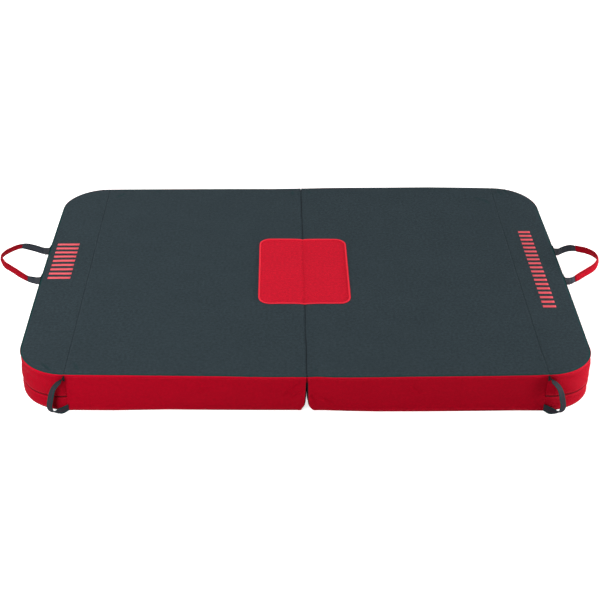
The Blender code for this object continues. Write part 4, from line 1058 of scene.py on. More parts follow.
cover_sheets_of = {}
for number, (side, sign) in enumerate(SIDES.items()):
    sheets, maps, flips = cover_sheets(side, 40 * number + 3)
    under = mirrored(bottom_grid(side == "right"), sign)
    away = np.minimum(1, border_distance(under) / 0.03)
    under[..., 2] += np.abs(ripples(under, 11 + number, 0.0003)) * away
    inner = mirrored(fold_wall_grid(), sign)
    sheets["bottom_panel"], maps["bottom_panel"] = under, under[..., :2]
    sheets["fold_wall"], maps["fold_wall"] = inner, inner[..., 1:]
    flips["bottom_panel"], flips["fold_wall"] = sign < 0, sign > 0
    for label, points in sheets.items():
        put_cover(label, side, points, maps[label], flips[label])
    cover_sheets_of[side] = sheets


# The camera, the floor and the light.

PICTURE, FOCAL_PIXELS, SENSOR = 600, 1197.814, 36
CAMERA_PLACE = (-0.08102178, -3.25429912, 2.13071437)
CAMERA_PITCH, CAMERA_YAW, CAMERA_ROLL = 33.0445, 1.2441, 0.7160
scene.render.resolution_x = scene.render.resolution_y = PICTURE
bpy.ops.object.camera_add(location=CAMERA_PLACE)
camera = bpy.context.object
camera.name = "photo_camera"
camera.data.sensor_width = SENSOR
camera.data.lens = FOCAL_PIXELS * SENSOR / PICTURE
camera.data.clip_start, camera.data.clip_end = 0.05, 60
pitch, yaw, roll = (math.radians(angle) for angle in (CAMERA_PITCH, CAMERA_YAW, CAMERA_ROLL))
ahead = Vector((math.sin(yaw) * math.cos(pitch), math.cos(yaw) * math.cos(pitch), -math.sin(pitch)))
level_right = Vector((math.cos(yaw), -math.sin(yaw), 0))
level_up = level_right.cross(ahead)
right = math.cos(roll) * level_right + math.sin(roll) * level_up
up = -math.sin(roll) * level_right + math.cos(roll) * level_up
camera.rotation_euler = Matrix((right, up, -ahead)).transposed().to_euler()
scene.camera = camera

scene.view_settings.view_transform = "Standard"


def looked_at(tree):
    """1 for rays that show a surface in the picture, straight or by a reflection."""
    path = tree.nodes.new("ShaderNodeLightPath")
    bounced = sums("MAXIMUM", path.outputs["Is Glossy Ray"], path.outputs["Is Transmission Ray"])
    return sums("MAXIMUM", path.outputs["Is Camera Ray"], bounced)


bpy.ops.mesh.primitive_plane_add(size=40, location=(0, 4, 0))
floor = bpy.context.object
floor.name = "floor"
made, tree, shader = new_material("white_floor", (0.82, 0.82, 0.82), 0.9, specular=0.0)
shader.inputs["Emission Color"].default_value = (1, 1, 1, 1)
tree.links.new(sums("MULTIPLY", looked_at(tree), 0.80), shader.inputs["Emission Strength"])
floor.data.materials.append(made)
floor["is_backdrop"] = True

world = bpy.data.worlds.new("studio")
scene.world = world
world.use_nodes = True
tree = world.node_tree
backdrop = tree.nodes["Background"]
backdrop.inputs["Color"].default_value = (1, 1, 1, 1)
tree.links.new(sums("MULTIPLY_ADD", looked_at(tree), 0.80, 0.20), backdrop.inputs["Strength"])

for name, place, aim, size, watts in (
    ("overhead_softbox", (-1.7, 0.7, 3.1), (-0.2, 0, 0), 2.8, 88),
    ("front_softbox", (-2.1, -2.6, 1.0), (-0.6, 0, 0.05), 1.6, 84),
    ("side_softbox", (3.2, -0.7, 0.5), (0.8, 0, 0.05), 1.2, 140),
):
    bpy.ops.object.light_add(type="AREA", location=place)
    lamp = bpy.context.object
    lamp.name = name
    lamp.data.size = size
    lamp.data.energy = watts
    lamp.rotation_euler = (Vector(aim) - Vector(place)).to_track_quat("-Z", "Y").to_euler()
    lamp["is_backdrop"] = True


# Bands of cloth and webbing.

# Half the outline of a band's section: share of the half width, share of the half thickness.
BAND_EDGE = ((1.0, 0.30), (0.985, 0.72), (0.93, 1.0), (0.62, 1.0), (0.31, 1.0))
SLEEVE_EDGE = ((1.0, 0.14), (0.97, 0.22), (0.86, 0.30), (0.70, 0.72), (0.45, 1.0))


def section_of(edge):
    """A closed outline from half of one edge's shares."""
    upper = [*edge, (0.0, 1.0), *((-u, v) for u, v in reversed(edge))]
    return upper + [(u, -v) for u, v in reversed(upper)]


def through(points, steps):
    """Places on a smooth curve through some points, with a number of steps to each gap."""
    points = np.array(points, float)
    padded = np.concatenate([[2 * points[0] - points[1]], points, [2 * points[-1] - points[-2]]])
    made = []
    for k in range(1, len(padded) - 2):
        before, start, end, after = padded[k - 1 : k + 3]
        speed, turn = end - before, 2 * before - 5 * start + 4 * end - after
        bend = 3 * start - 3 * end + after - before
        for t in np.arange(steps) / steps:
            made.append(0.5 * (2 * start + speed * t + turn * t**2 + bend * t**3))
    made.append(points[-1])
    return np.array(made)


def unit(vectors):
    vectors = np.asarray(vectors, float)
    return vectors / np.maximum(np.linalg.norm(vectors, axis=-1, keepdims=True), 1e-12)


def ways_along(route):
    return unit(np.gradient(route, axis=0))


def travelled(route):
    return np.concatenate([[0], np.cumsum(np.linalg.norm(np.diff(route, axis=0), axis=1))])


def along_line(values, lengths, at):
    """Values given along a line, read off at some distances along it."""
    return np.stack([np.interp(at, lengths, column) for column in np.transpose(values)], -1)


def band(name, route, across, width, thickness, finish, edge=BAND_EDGE):
    """A band along a route. Its width, thickness and across direction may change along it."""
    route = np.array(route, float)
    ways = ways_along(route)
    across = np.broadcast_to(np.array(across, float), route.shape)
    across = unit(across - ways * np.sum(across * ways, axis=1, keepdims=True))
    normals = unit(np.cross(across, ways))
    widths = np.broadcast_to(width, len(route)) / 2
    depths = np.broadcast_to(thickness, len(route)) / 2
    outline = section_of(edge)
    count = len(outline)
    vertices, uv = [], []
    for k, at in enumerate(travelled(route)):
        for u, v in outline:
            vertices.append(route[k] + across[k] * widths[k] * u + normals[k] * depths[k] * v)
            uv.append((at, widths[k] * u))
    faces = []
    for k in range(len(route) - 1):
        for j in range(count):
            here, there = k * count + j, k * count + (j + 1) % count
            faces.append((here, here + count, there + count, there))
    faces.append(tuple(range(count)))
    faces.append(tuple(reversed(range((len(route) - 1) * count, len(route) * count))))
    mesh = mesh_of(name, [tuple(v) for v in vertices], faces)
    give_uv(mesh, uv)
    piece = linked(name, mesh, finish)
    turn_outwards(piece)
    return piece


def turn_outwards(piece):
    """Makes a closed piece's faces look outwards."""
    bm = bmesh.new()
    bm.from_mesh(piece.data)
    bmesh.ops.recalc_face_normals(bm, faces=bm.faces)
    bm.to_mesh(piece.data)
    bm.free()


def joined(name, pieces):
    """Several pieces made into one."""
    select_only(*pieces)
    bpy.ops.object.join()
    pieces[0].name = name
    pieces[0].select_set(False)
    return pieces[0]


def stand_for(piece, body, slot_name, *nodes, rising=True, bend=None):
    """Puts a piece on its body in place of nodes of the part; its material slot is not used.

    With a bend, which is two places, it is only baked where it stands: it goes on no body and does not bend.
    """
    stood(piece, rising)
    if bend is None:
        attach(piece, body)
    else:
        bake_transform(piece)
    if nodes:
        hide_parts(*nodes)
    return piece


def bend_past(side, start, reaches):
    """The two places of a bend, at distances beyond a start on a half."""
    return [(SIDES[side] * (start + reach), 0, 0) for reach in reaches]


# How far inside and outside its pivot a handle starts and ends to turn.
HANDLE_PIVOT_X, HANDLE_BEND = 0.843358, (-0.122, 0.284)


def hang(piece, side, slot_name, *nodes):
    """Puts a handle's piece in place, baked where it stands, on no body."""
    bend = bend_past(side, HANDLE_PIVOT_X, HANDLE_BEND)
    return stand_for(piece, (f"{side}_half", f"handle_{side}"), slot_name, *nodes, bend=bend)


# Stitches: one short thread, and copies of it along a line.

bpy.ops.mesh.primitive_uv_sphere_add(segments=6, ring_count=4, radius=0.5, location=(0, 0, 0))
stitch = bpy.context.object
STITCH_PLACES = places_of(stitch.data)
STITCH_FACES = [tuple(face.vertices) for face in stitch.data.polygons]
bpy.data.objects.remove(stitch)

STITCH_PITCH, BOX_PITCH = 0.0042, 0.0030
STITCH_SIZE = np.array([0.0032, 0.0009, 0.0007])


def stitches(name, lines, finish, size=STITCH_SIZE, pitch=STITCH_PITCH):
    """Threads along lines. Each line is its places and the outward directions beside them."""
    vertices, faces = [], []
    for route, normals in lines:
        route, normals = np.array(route, float), np.array(normals, float)
        lengths = travelled(route)
        for at in np.arange(pitch / 2, lengths[-1], pitch):
            place = along_line(route, lengths, at)
            ahead = along_line(route, lengths, at + pitch / 4) - place
            if np.linalg.norm(ahead) < 1e-7:
                continue
            up, way = unit(along_line(normals, lengths, at)), unit(ahead)
            turned = STITCH_PLACES * size @ np.array([way, np.cross(up, way), up])
            start = len(vertices)
            vertices.extend((turned + place).tolist())
            faces.extend(tuple(start + index for index in face) for face in STITCH_FACES)
    return linked(name, mesh_of(name, vertices, faces), finish)


def line_at_height(points, z, sign):
    """The line of a wall's cloth at a height, with its outward directions."""
    normals = unit(np.cross(np.gradient(points, axis=1), np.gradient(points, axis=0))) * sign
    columns = [np.concatenate([points[:, k], normals[:, k]], 1) for k in range(points.shape[1])]
    both = np.array([along_line(column, column[:, 2], z) for column in columns])
    return both[:, :3], both[:, 3:]


TOP_STITCH, BOTTOM_STITCH, PANEL_STITCH = 0.1145, 0.0090, 0.0035
PANEL_STITCH_END = PAD_DEPTH / 2 - 0.012
ZIP_STITCH_BELOW, ZIP_STITCH_ABOVE = 0.0436, 0.0566


def top_place(side, x, y):
    """Height of the landing cloth at a place of a half."""
    sheets = cover_sheets_of[side]
    x = abs(x)
    points = sheets["top_panel"] if x <= SEAM_X else sheets["top_end_panel"]
    middle = points.shape[1] // 2
    rows = np.abs(points[:, middle, 0])
    k = int(np.clip(np.searchsorted(rows, x) - 1, 0, len(rows) - 2))
    share = float(np.clip((x - rows[k]) / (rows[k + 1] - rows[k]), 0, 1))
    heights = [np.interp(y, points[row, :, 1], points[row, :, 2]) for row in (k, k + 1)]
    return heights[0] * (1 - share) + heights[1] * share


WALL_LINES = (
    *(("front_wall", TOP_STITCH), ("back_wall", TOP_STITCH), ("end_wall_upper", TOP_STITCH)),
    *(("front_wall", BOTTOM_STITCH), ("back_wall", BOTTOM_STITCH), ("end_wall_lower", BOTTOM_STITCH)),
    *(("end_wall_lower", ZIP_STITCH_BELOW), ("end_wall_upper", ZIP_STITCH_ABOVE)),
)
for side, sign in SIDES.items():
    sheets = cover_sheets_of[side]
    wall_lines = [line_at_height(sheets[label], height, sign) for label, height in WALL_LINES]
    threads = stitches(f"wall_topstitching_{side}", wall_lines, "red_thread")
    stand_for(threads, f"{side}_half", "wall_fabric")
    seam_lines = []
    for offset in (-PANEL_STITCH, PANEL_STITCH):
        x = sign * (SEAM_X + offset)
        ys = np.arange(-PANEL_STITCH_END, PANEL_STITCH_END, 0.006)
        places = [(x, y, top_place(side, x, y)) for y in ys]
        seam_lines.append((places, [(0, 0, 1)] * len(places)))
    threads = stitches(f"panel_topstitching_{side}", seam_lines, "dark_thread")
    stand_for(threads, f"{side}_half", "top_fabric")


# The zips: a tape behind the two lips and its coil. Their sliders and pulls are the part's own, among the
# hardware below.


def round_end_route(sign, z, inwards):
    """The way round an end of the pad at a height, with the outward directions beside it."""
    end = wall_stations()[1]
    half = [wall_place(station, z, WALL_LEVELS) for station in end]
    plan = half + [(x, -y) for x, y in reversed(half[:-1])]
    route = np.array([(x, y, z) for x, y in plan])
    ways = ways_along(route)
    outward = np.stack([ways[:, 1], -ways[:, 0], np.zeros(len(ways))], 1)
    return mirrored(route - outward * inwards, sign), mirrored(outward, sign)


COIL_SIZE, COIL_PITCH, COIL_SET_BACK = np.array([0.0012, 0.0029, 0.0016]), 0.0016, 0.0030
TAPE_WIDTH, TAPE_THICKNESS, TAPE_SET_BACK = 0.0118, 0.0007, 0.0040
for side, sign in SIDES.items():
    route, _ = round_end_route(sign, ZIP_HEIGHT, TAPE_SET_BACK)
    tape = band(f"zip_tape_{side}", route, (0, 0, 1), TAPE_WIDTH, TAPE_THICKNESS, "zip_tape")
    stand_for(tape, f"{side}_half", "zip")
    rows = []
    for shift, at in ((-0.00105, 0.0), (0.00105, 0.0008)):
        route, outward = round_end_route(sign, ZIP_HEIGHT, COIL_SET_BACK)
        route[:, 2] += shift
        rows.append((route[2:-2] + np.array([0, at, 0]), outward[2:-2]))
    coil = stitches(f"zip_coil_{side}", rows, "zip_coil", COIL_SIZE, COIL_PITCH)
    stand_for(coil, f"{side}_half", "zip", f"zip_chain_{side}")


# The fold: a strip of the landing cloth that joins the halves under the crease.


def centred(half_width, first):
    """Distances each side of a middle, closer together near it."""
    steps = [half_width * share for share in first]
    return [-d for d in reversed(steps[1:])] + steps


def across_fold(piece, slot_name, *nodes):
    """Puts a piece in place across the fold between the two halves, baked where it stands."""
    bend = ((-FOLD_HALF, 0, FOLD_Z), (FOLD_HALF, 0, FOLD_Z))
    return stand_for(piece, ("left_half", "right_half"), slot_name, *nodes, bend=bend)


STRIP_HALF_WIDTH, STRIP_THICKNESS, STRIP_SHORT = 0.009, 0.0008, 0.003
STRIP_DROP, STRIP_SLOPE = 0.0011, 0.06
strip_x = centred(STRIP_HALF_WIDTH, (0, 0.08, 0.2, 0.4, 0.7, 1.0))
strip_y = [d - PAD_DEPTH / 2 for d in spaced(PAD_DEPTH, 0.012, NEAR_EDGE, NEAR_EDGE)]
drawn = 1 - STRIP_SHORT / (PAD_DEPTH / 2)
strip = np.array(
    [[(x, y * drawn, SEAM_HEIGHT - STRIP_DROP - abs(x) * STRIP_SLOPE) for y in strip_y] for x in strip_x]
)
fold_strip = grid_piece("fold_hinge_strip", strip, strip[..., :2], "slate_cloth", True)
across_fold(thick_cloth(fold_strip, STRIP_THICKNESS), "top_fabric")


# The patch, its stitched border and the prints, all laid on the landing cloth.

PATCH_HALF_WIDTH, PATCH_HALF_DEPTH, PATCH_CORNER = 0.142, 0.196, 0.036
PATCH_THICKNESS, PATCH_SEAM = 0.0008, 0.0022
BORDER_WIDTH, BORDER_THICKNESS, BORDER_LIFT = 0.0052, 0.0014, 0.0013
PRINT_THICKNESS, PRINT_FILL = 0.00025, 0.46
LAID = 0.0003


def height_on_top(x, y):
    side = "left" if x < 0 else "right"
    return top_place(side, max(abs(x), TOP_GAPE), y)


def patch_rows():
    straight = PATCH_HALF_DEPTH - PATCH_CORNER
    corner = [math.pi / 2 * k / 8 for k in range(9)]
    ys = [-straight - PATCH_CORNER * math.sin(angle) for angle in reversed(corner)]
    ys += [d - straight for d in spaced(2 * straight, 0.008)][1:-1]
    ys += [straight + PATCH_CORNER * math.sin(angle) for angle in corner]
    return ys


def patch_reach(y):
    past = max(0.0, abs(y) - (PATCH_HALF_DEPTH - PATCH_CORNER))
    return PATCH_HALF_WIDTH - PATCH_CORNER + math.sqrt(max(0.0, PATCH_CORNER**2 - past**2))


even_shares = [0.05 + 0.05 * k for k in range(1, 18)]
patch_shares = centred(1.0, (0, 0.006, 0.02, 0.05, *even_shares, 0.935, 0.97, 0.99, 1.0))
rows = []
for y in patch_rows():
    reach = patch_reach(y)
    rows.append([(u * reach, y, height_on_top(u * reach, y) + LAID + PATCH_THICKNESS) for u in patch_shares])
patch_grid = np.array(rows)
patch_grid[..., 2] += ripples(patch_grid, 77, 0.00016)
patch = grid_piece("centre_patch", patch_grid, patch_grid[..., :2], "patch_cloth")
across_fold(thick_cloth(patch, PATCH_THICKNESS), "patch_fabric", "patch_left", "patch_right")

outline = []
for k, (to_x, to_y) in enumerate(((1, 1), (-1, 1), (-1, -1), (1, -1))):
    centre_x = (PATCH_HALF_WIDTH - PATCH_CORNER) * to_x
    centre_y = (PATCH_HALF_DEPTH - PATCH_CORNER) * to_y
    for step in range(9):
        angle, reach = math.pi / 2 * (k + step / 8), PATCH_CORNER - PATCH_SEAM
        outline.append((centre_x + reach * math.cos(angle), centre_y + reach * math.sin(angle)))
outline = np.array(outline + outline[:1])
lengths = travelled(outline)
border = []
for at in np.arange(0, lengths[-1] + 1e-9, lengths[-1] / 300):
    x, y = along_line(outline, lengths, at)
    border.append((x, y, height_on_top(x, y) + LAID + BORDER_LIFT))
border = np.array(border)
edge_ways = ways_along(border)
edge_across = np.stack([-edge_ways[:, 1], edge_ways[:, 0], np.zeros(len(border))], 1)
rim = band("patch_border", border, edge_across, BORDER_WIDTH, BORDER_THICKNESS, "patch_border")
across_fold(rim, "patch_fabric")

for side, x_low, x_high, y_low, y_high, count in (
    ("left", -0.806, -0.735, -0.052, 0.166, 9),
    ("right", 0.728, 0.768, -0.214, 0.252, 19),
):
    # A row of plain equal bars printed across a half's end panel.
    name = f"printed_bars_{side}"
    pitch = (y_high - y_low) / (count - 1 + PRINT_FILL)
    bars = []
    for k in range(count):
        low = y_low + k * pitch
        ys = np.linspace(low, low + PRINT_FILL * pitch, 4)
        xs = np.linspace(x_low, x_high, 7)
        grid = np.array([[(x, y, height_on_top(x, y) + LAID) for y in ys] for x in xs])
        bars.append(grid_piece(f"{name}_{k}", grid, grid[..., :2], "print", True))
    made = thick_cloth(joined(name, bars), PRINT_THICKNESS)
    stand_for(made, f"{side}_half", "patch_fabric")


# Handles.

HANDLE_REACH, HANDLE_RISE = 0.128, math.radians(14)
GRIP_WIDTH, GRIP_THICKNESS = 0.0285, 0.0062
ANCHOR_PLATE, ANCHOR_PLY = 0.0015, 0.0012
ANCHOR_X = ANCHOR_FACE + 0.0009
# Where the sleeve starts and ends along the webbing, how much its ends are gathered,
# and how far the band leans forward, back and front.
GRIP_SHARES = {"left": (0.228, 0.918), "right": (0.200, 0.930)}
GRIP_GATHER = {"left": 0.24, "right": 0.08}
HANDLE_LEANS = {"left": (math.radians(24), math.radians(13)), "right": (math.radians(12), math.radians(2))}
HANDLE_ROUTES = {
    "left": (
        *((0.00, 1.00), (0.05, 1.00), (0.12, 1.00), (0.27, 1.04), (0.48, 1.055), (0.62, 1.00), (0.76, 0.79)),
        *((0.863, 0.57), (0.96, 0.30), (1.00, -0.035), (0.865, -0.40), (0.715, -0.55), (0.575, -0.68)),
        *((0.43, -0.82), (0.23, -0.98), (0.12, -1.00), (0.05, -1.00), (0.00, -1.00)),
    ),
    "right": (
        *((0.00, 1.00), (0.05, 1.01), (0.13, 1.06), (0.26, 1.10), (0.37, 1.075), (0.47, 0.977)),
        *((0.568, 0.857), (0.665, 0.739), (0.755, 0.578), (0.837, 0.374), (0.88, 0.16), (0.868, -0.09)),
        *((0.78, -0.347), (0.675, -0.505), (0.574, -0.594), (0.445, -0.703), (0.318, -0.811)),
        *((0.188, -0.920), (0.10, -0.985), (0.05, -1.00), (0.00, -1.00)),
    ),
}


def handle_places(side):
    """The handle's route in its rising plane, and the band's upright direction."""
    sign = SIDES[side]
    back_lean, front_lean = HANDLE_LEANS[side]
    flat = through([(HANDLE_REACH * u, HANDLE_HALF_SPAN * v, 0) for u, v in HANDLE_ROUTES[side]], 6)
    x = HANDLE_PIVOT_X + flat[:, 0] * math.cos(HANDLE_RISE)
    z = HANDLE_Z + flat[:, 0] * math.sin(HANDLE_RISE)
    route = np.stack([sign * x, HANDLE_Y + flat[:, 1], z], 1)
    shares = travelled(route) / travelled(route)[-1]
    upright = np.array([-sign * math.sin(HANDLE_RISE), 0, math.cos(HANDLE_RISE)])
    fore = np.array([smooth_step(0.48, 0.64, s) for s in shares])
    eased = np.array([smooth_step(0.12, 0.30, s) * smooth_step(0.02, 0.16, 1 - s) for s in shares])
    lean = (back_lean * (1 - fore) + front_lean * fore) * eased
    return route, upright * np.cos(lean)[:, None] - np.array([0, 1, 0]) * np.sin(lean)[:, None]


def box_stitch(centre, along, across, normal, length, width):
    """Lines of a sewn box with a cross in it."""
    centre, along, across = (np.array(v, float) for v in (centre, along, across))
    corners = [
        centre + along * length * u + across * width * v for u, v in ((-1, -1), (1, -1), (1, 1), (-1, 1))
    ]
    lines = [(corners[j], corners[k]) for j, k in ((0, 1), (1, 2), (2, 3), (3, 0), (0, 2), (1, 3))]
    return [(np.array(line), np.array([normal, normal], float)) for line in lines]


def handle_sleeve(side, route, upright):
    """The padded sleeve round a handle's webbing, with painted light across it and the stitching along its
    edges.
    """
    lengths = travelled(route)
    total = lengths[-1]
    count = 90
    at = np.linspace(*(share * total for share in GRIP_SHARES[side]), count)
    held = along_line(route, lengths, at)
    leant = unit(along_line(upright, lengths, at))
    ends = np.minimum(at - at[0], at[-1] - at)
    puff = GRIP_THICKNESS * (0.58 + 0.42 * np.clip(ends / 0.007, 0, 1) ** 0.6)
    puff *= 1 + 0.10 * np.sin(at * 2 * math.pi / 0.034 + SIDES[side]) * np.clip(ends / 0.02, 0, 1)
    widths = GRIP_WIDTH * (1 + 0.010 * np.sin(at * 2 * math.pi / 0.047 + 1))
    widths = widths * (1 - GRIP_GATHER[side] * np.exp(-((ends / 0.014) ** 2)))
    sleeve = band(f"handle_sleeve_{side}", held, leant, widths, puff, "sleeve_cloth", SLEEVE_EDGE)
    # Painted light across the sleeve: a painted highlight along one edge, painted shade just inside it and
    # along the other edge.
    shares = np.tile([u for u, _ in section_of(SLEEVE_EDGE)], count)
    tones = 0.9 * np.clip((shares - 0.90) / 0.05, 0, 1) - 0.60 * np.clip(1 - abs(shares - 0.80) / 0.25, 0, 1)
    give_painted_light(sleeve.data, tones - 0.5 * np.clip((-shares - 0.72) / 0.15, 0, 1))
    hang(sleeve, side, "grip_fabric", f"handle_grip_{side}")
    normals = unit(np.cross(leant, ways_along(held)))
    lines = []
    for edge in (-1, 1):
        for face in (-1, 1):
            offset = edge * leant * widths[:, None] * 0.445 + face * normals * GRIP_THICKNESS * 0.145
            lines.append(((held + offset)[2:-2], (face * normals)[2:-2]))
    hang(stitches(f"handle_sleeve_stitching_{side}", lines, "red_thread"), side, "grip_fabric")


def handle_anchor(side, label, y):
    """The tab that holds one end of a handle, with its stitching."""
    sign = SIDES[side]
    steps = np.linspace(-ANCHOR_HALF_LENGTH, ANCHOR_HALF_LENGTH, 9)
    foot = [(sign * ANCHOR_X, y + step, HANDLE_Z) for step in steps]
    plies = [band("anchor_plate", foot, (0, 0, 1), HANDLE_WIDTH, ANCHOR_PLATE, "webbing")]
    depth = HANDLE_THICKNESS / 2 + CLEAR + ANCHOR_PLY / 2
    for face in (-1, 1):
        points = [
            (sign * ANCHOR_X, y + face * 0.012, HANDLE_Z),
            (sign * (ANCHOR_X + 0.0007), y + face * 0.0060, HANDLE_Z),
            (sign * (ANCHOR_X + 0.0030), y + face * (depth + 0.0008), HANDLE_Z),
            (sign * (ANCHOR_X + 0.0070), y + face * depth, HANDLE_Z),
            (sign * (HANDLE_PIVOT_X + 0.0058), y + face * depth, HANDLE_Z),
        ]
        route = through(points, 5)
        plies.append(band("anchor_ply", route, (0, 0, 1), HANDLE_WIDTH * 0.98, ANCHOR_PLY, "webbing"))
    tab = joined(f"handle_anchor_tab_{label}_{side}", plies)
    stand_for(tab, f"{side}_half", "webbing", f"handle_anchor_{label}_{side}")
    lines = []
    for shift in (-0.0170, 0.0170):
        centre = (sign * (ANCHOR_X + 0.0010), y + shift, HANDLE_Z)
        lines += box_stitch(centre, (0, 1, 0), (0, 0, 1), (sign, 0, 0), 0.0030, 0.0095)
    threads = stitches(f"handle_anchor_stitching_{label}_{side}", lines, "dark_thread", pitch=BOX_PITCH)
    stand_for(threads, f"{side}_half", "webbing")


for side in SIDES:
    route, upright = handle_places(side)
    lengths = travelled(route)
    total = lengths[-1]
    ends = np.minimum(lengths, total - lengths)
    gathered = sum(np.exp(-(((lengths - share * total) / 0.010) ** 2)) for share in GRIP_SHARES[side])
    widths = HANDLE_WIDTH * (0.90 + 0.10 * np.clip(ends / 0.006, 0, 1)) * (1 - 0.10 * gathered)
    strap = band(f"handle_band_{side}", route, upright, widths, HANDLE_THICKNESS, "handle_webbing")
    hang(strap, side, "webbing", f"handle_webbing_{side}")
    handle_sleeve(side, route, upright)
    for label, turn in (("back", 1), ("front", -1)):
        handle_anchor(side, label, HANDLE_Y + turn * HANDLE_HALF_SPAN)


# Seam loops: webbing that twists as it hangs, folded sharply at its lowest point.

LOOP_WIDTH, LOOP_THICKNESS = 0.019, 0.0016
LOOP_AXIS_Y = 0.555876
LOOP_BEND = (-0.12, 0.11)
# Reach past the seam, proudness, height, and the turn of the face out of the picture, in degrees.
LOOP_STATIONS = (
    (0.0004, -0.0016, 0.1092, -33),
    (0.0042, 0.0008, 0.1093, -56),
    (0.0064, 0.0022, 0.1086, -84),
    (0.0094, 0.0036, 0.1062, -112),
    (0.0135, 0.0050, 0.1022, -124),
    (0.0205, 0.0072, 0.0962, -128),
    (0.0319, 0.0100, 0.0822, -133),
    (0.0406, 0.0120, 0.0622, -143),
    (0.0465, 0.0120, 0.0377, -139),
    (0.0468, 0.0118, 0.0205, -131),
    (0.0415, 0.0116, 0.0110, -112),
    (0.0345, 0.0115, 0.0080, -97),
    (0.0270, 0.0110, 0.0078, -118),
    (0.0190, 0.0098, 0.0092, -143),
    (0.0112, 0.0075, 0.0100, -155),
    (0.0040, 0.0030, 0.0115, -153),
    (-0.0030, -0.0016, 0.0125, -147),
)
LOOP_SIGHT = unit([0.19, 0.82, -0.54])


def loop_band(name, sign, end):
    """A corner loop's webbing, sewn into the seam at both ends, with painted shade on its first stretch out
    of the seam.
    """
    places = through([(reach, -proud, height) for reach, proud, height, _ in LOOP_STATIONS], 7)
    turns = through([(math.radians(turn), 0, 0) for *_, turn in LOOP_STATIONS], 7)[:, 0]
    ways = ways_along(places)
    seen = unit(np.cross(ways, LOOP_SIGHT))
    deep = unit(LOOP_SIGHT - ways * (ways @ LOOP_SIGHT)[:, None])
    across = seen * np.cos(turns)[:, None] + deep * np.sin(turns)[:, None]
    steps = np.arange(len(places))
    blend_in = np.clip(np.minimum(steps, steps[::-1]) / 7, 0, 1)[:, None]
    across = across * blend_in * np.sign(across[:, 2:].sum() or 1)
    across = unit(np.array([0, 0, 1.0]) * (1 - blend_in) + across)
    where = np.array([sign * SEAM_X, end * LOOP_AXIS_Y, 0])
    flip = np.array([sign, -end, 1])
    route = places * flip + where
    made = band(name, route, across * flip, LOOP_WIDTH, LOOP_THICKNESS, "loop_webbing")
    lengths = np.repeat(travelled(route), len(section_of(BAND_EDGE)))
    # Painted shade on the band's first part, up to 16.5 mm from where it leaves the seam.
    give_painted_light(made.data, -0.9 * np.clip((0.0165 - lengths) / 0.003, 0, 1))
    return made


for side, sign in SIDES.items():
    for label, end in (("front", -1), ("back", 1)):
        loop = loop_band(f"corner_loop_{label}_{side}", sign, end)
        bodies, bend = (f"{side}_half", f"loop_{label}_{side}"), bend_past(side, SEAM_X, LOOP_BEND)
        stand_for(loop, bodies, "webbing", f"seam_loop_{label}_{side}", bend=bend)


# Catches for the closure hooks, across the left end wall above the zip.

WEB = 0.0014


def end_wall_reach(side, y, z):
    """How far out the end wall's cloth lies at a place."""
    points = cover_sheets_of[side]["end_wall_upper"]
    row = points[int(np.argmin(np.abs(points[:, points.shape[1] // 2, 2] - z)))]
    return float(np.interp(y, row[:, 1] * (1 if row[0, 1] < 0 else -1), np.abs(row[:, 0])))


for label, end in (("front", -1), ("back", 1)):
    y = end * CATCH_Y
    shares = np.linspace(0, 1, 25)
    places = []
    for share in shares:
        z = CATCH_FOOT + CATCH_HEIGHT * share
        x = max(end_wall_reach("left", y + edge, z) for edge in (-0.012, 0, 0.012))
        places.append((-(x + 0.0009 + 0.0035 * math.sin(math.pi * share)), y, z))
    catch = band(f"closure_catch_band_{label}", places, (0, 1, 0), CATCH_WIDTH, WEB, "webbing")
    stand_for(catch, "left_half", "webbing", f"closure_catch_{label}")
    lines = []
    for rise in (0.0020, 0.0045, CATCH_HEIGHT - 0.0045, CATCH_HEIGHT - 0.0020):
        x = np.interp(rise / CATCH_HEIGHT, shares, [place[0] for place in places]) - WEB / 2
        z = CATCH_FOOT + rise
        lines.append(([(x, y - 0.0115, z), (x, y + 0.0115, z)], [(-1, 0, 0)] * 2))
    threads = stitches(f"closure_catch_stitching_{label}", lines, "dark_thread", pitch=BOX_PITCH)
    stand_for(threads, "left_half", "webbing")


# The carrying harness, in the hollow of the right half.

HARNESS_X, HARDWARE_Z, LUG = END_X / 2, 0.0066, 0.005
CEILING = STRAP_HOLLOW - CLEAR - WEB / 2
WRAP_GAP, WRAP_LEAD, WRAP_TAIL = 0.0006, 0.018, 0.032
WRAP_LUG = LUG / 2 + WRAP_GAP + WEB / 2
LOCK_Y, LOCK_LENGTH, LOCK_BAR = -0.008, 0.026, 0.0035
STRAP_WIDTH, BELT_WIDTH = 0.024, 0.038
BUCKLE_BAR, HOOK_BAR, HOOK_REACH = 0.004, 0.0025, 0.250
SOCKET_REACH, PLUG_REACH, BUCKLE_BAR_AT = 0.024, 0.008, 0.0115
# Where the shoulder straps start and end across, and the roots of the lower straps and closures.
SHOULDER_TOP, SHOULDER_TOP_X, SHOULDER_LOW_X, SHOULDER_GAP = 0.129, 0.085, 0.125, 0.012
LOWER_ROOT, CLOSURE_ROOT = 0.080, 0.119
# The shoulder strap's width at its ends and how much it gains, its depth, and its runner's stitching.
STRAP_NARROW, STRAP_SWELL, STRAP_DEEP = 0.024, 0.044, 0.008
RUNNER_WIDTH, RUNNER_STITCH, RUNNER_GAP = 0.0235, 0.0098, 0.0002
ROOT_AT, ROOT_BOX = 0.015, 0.011


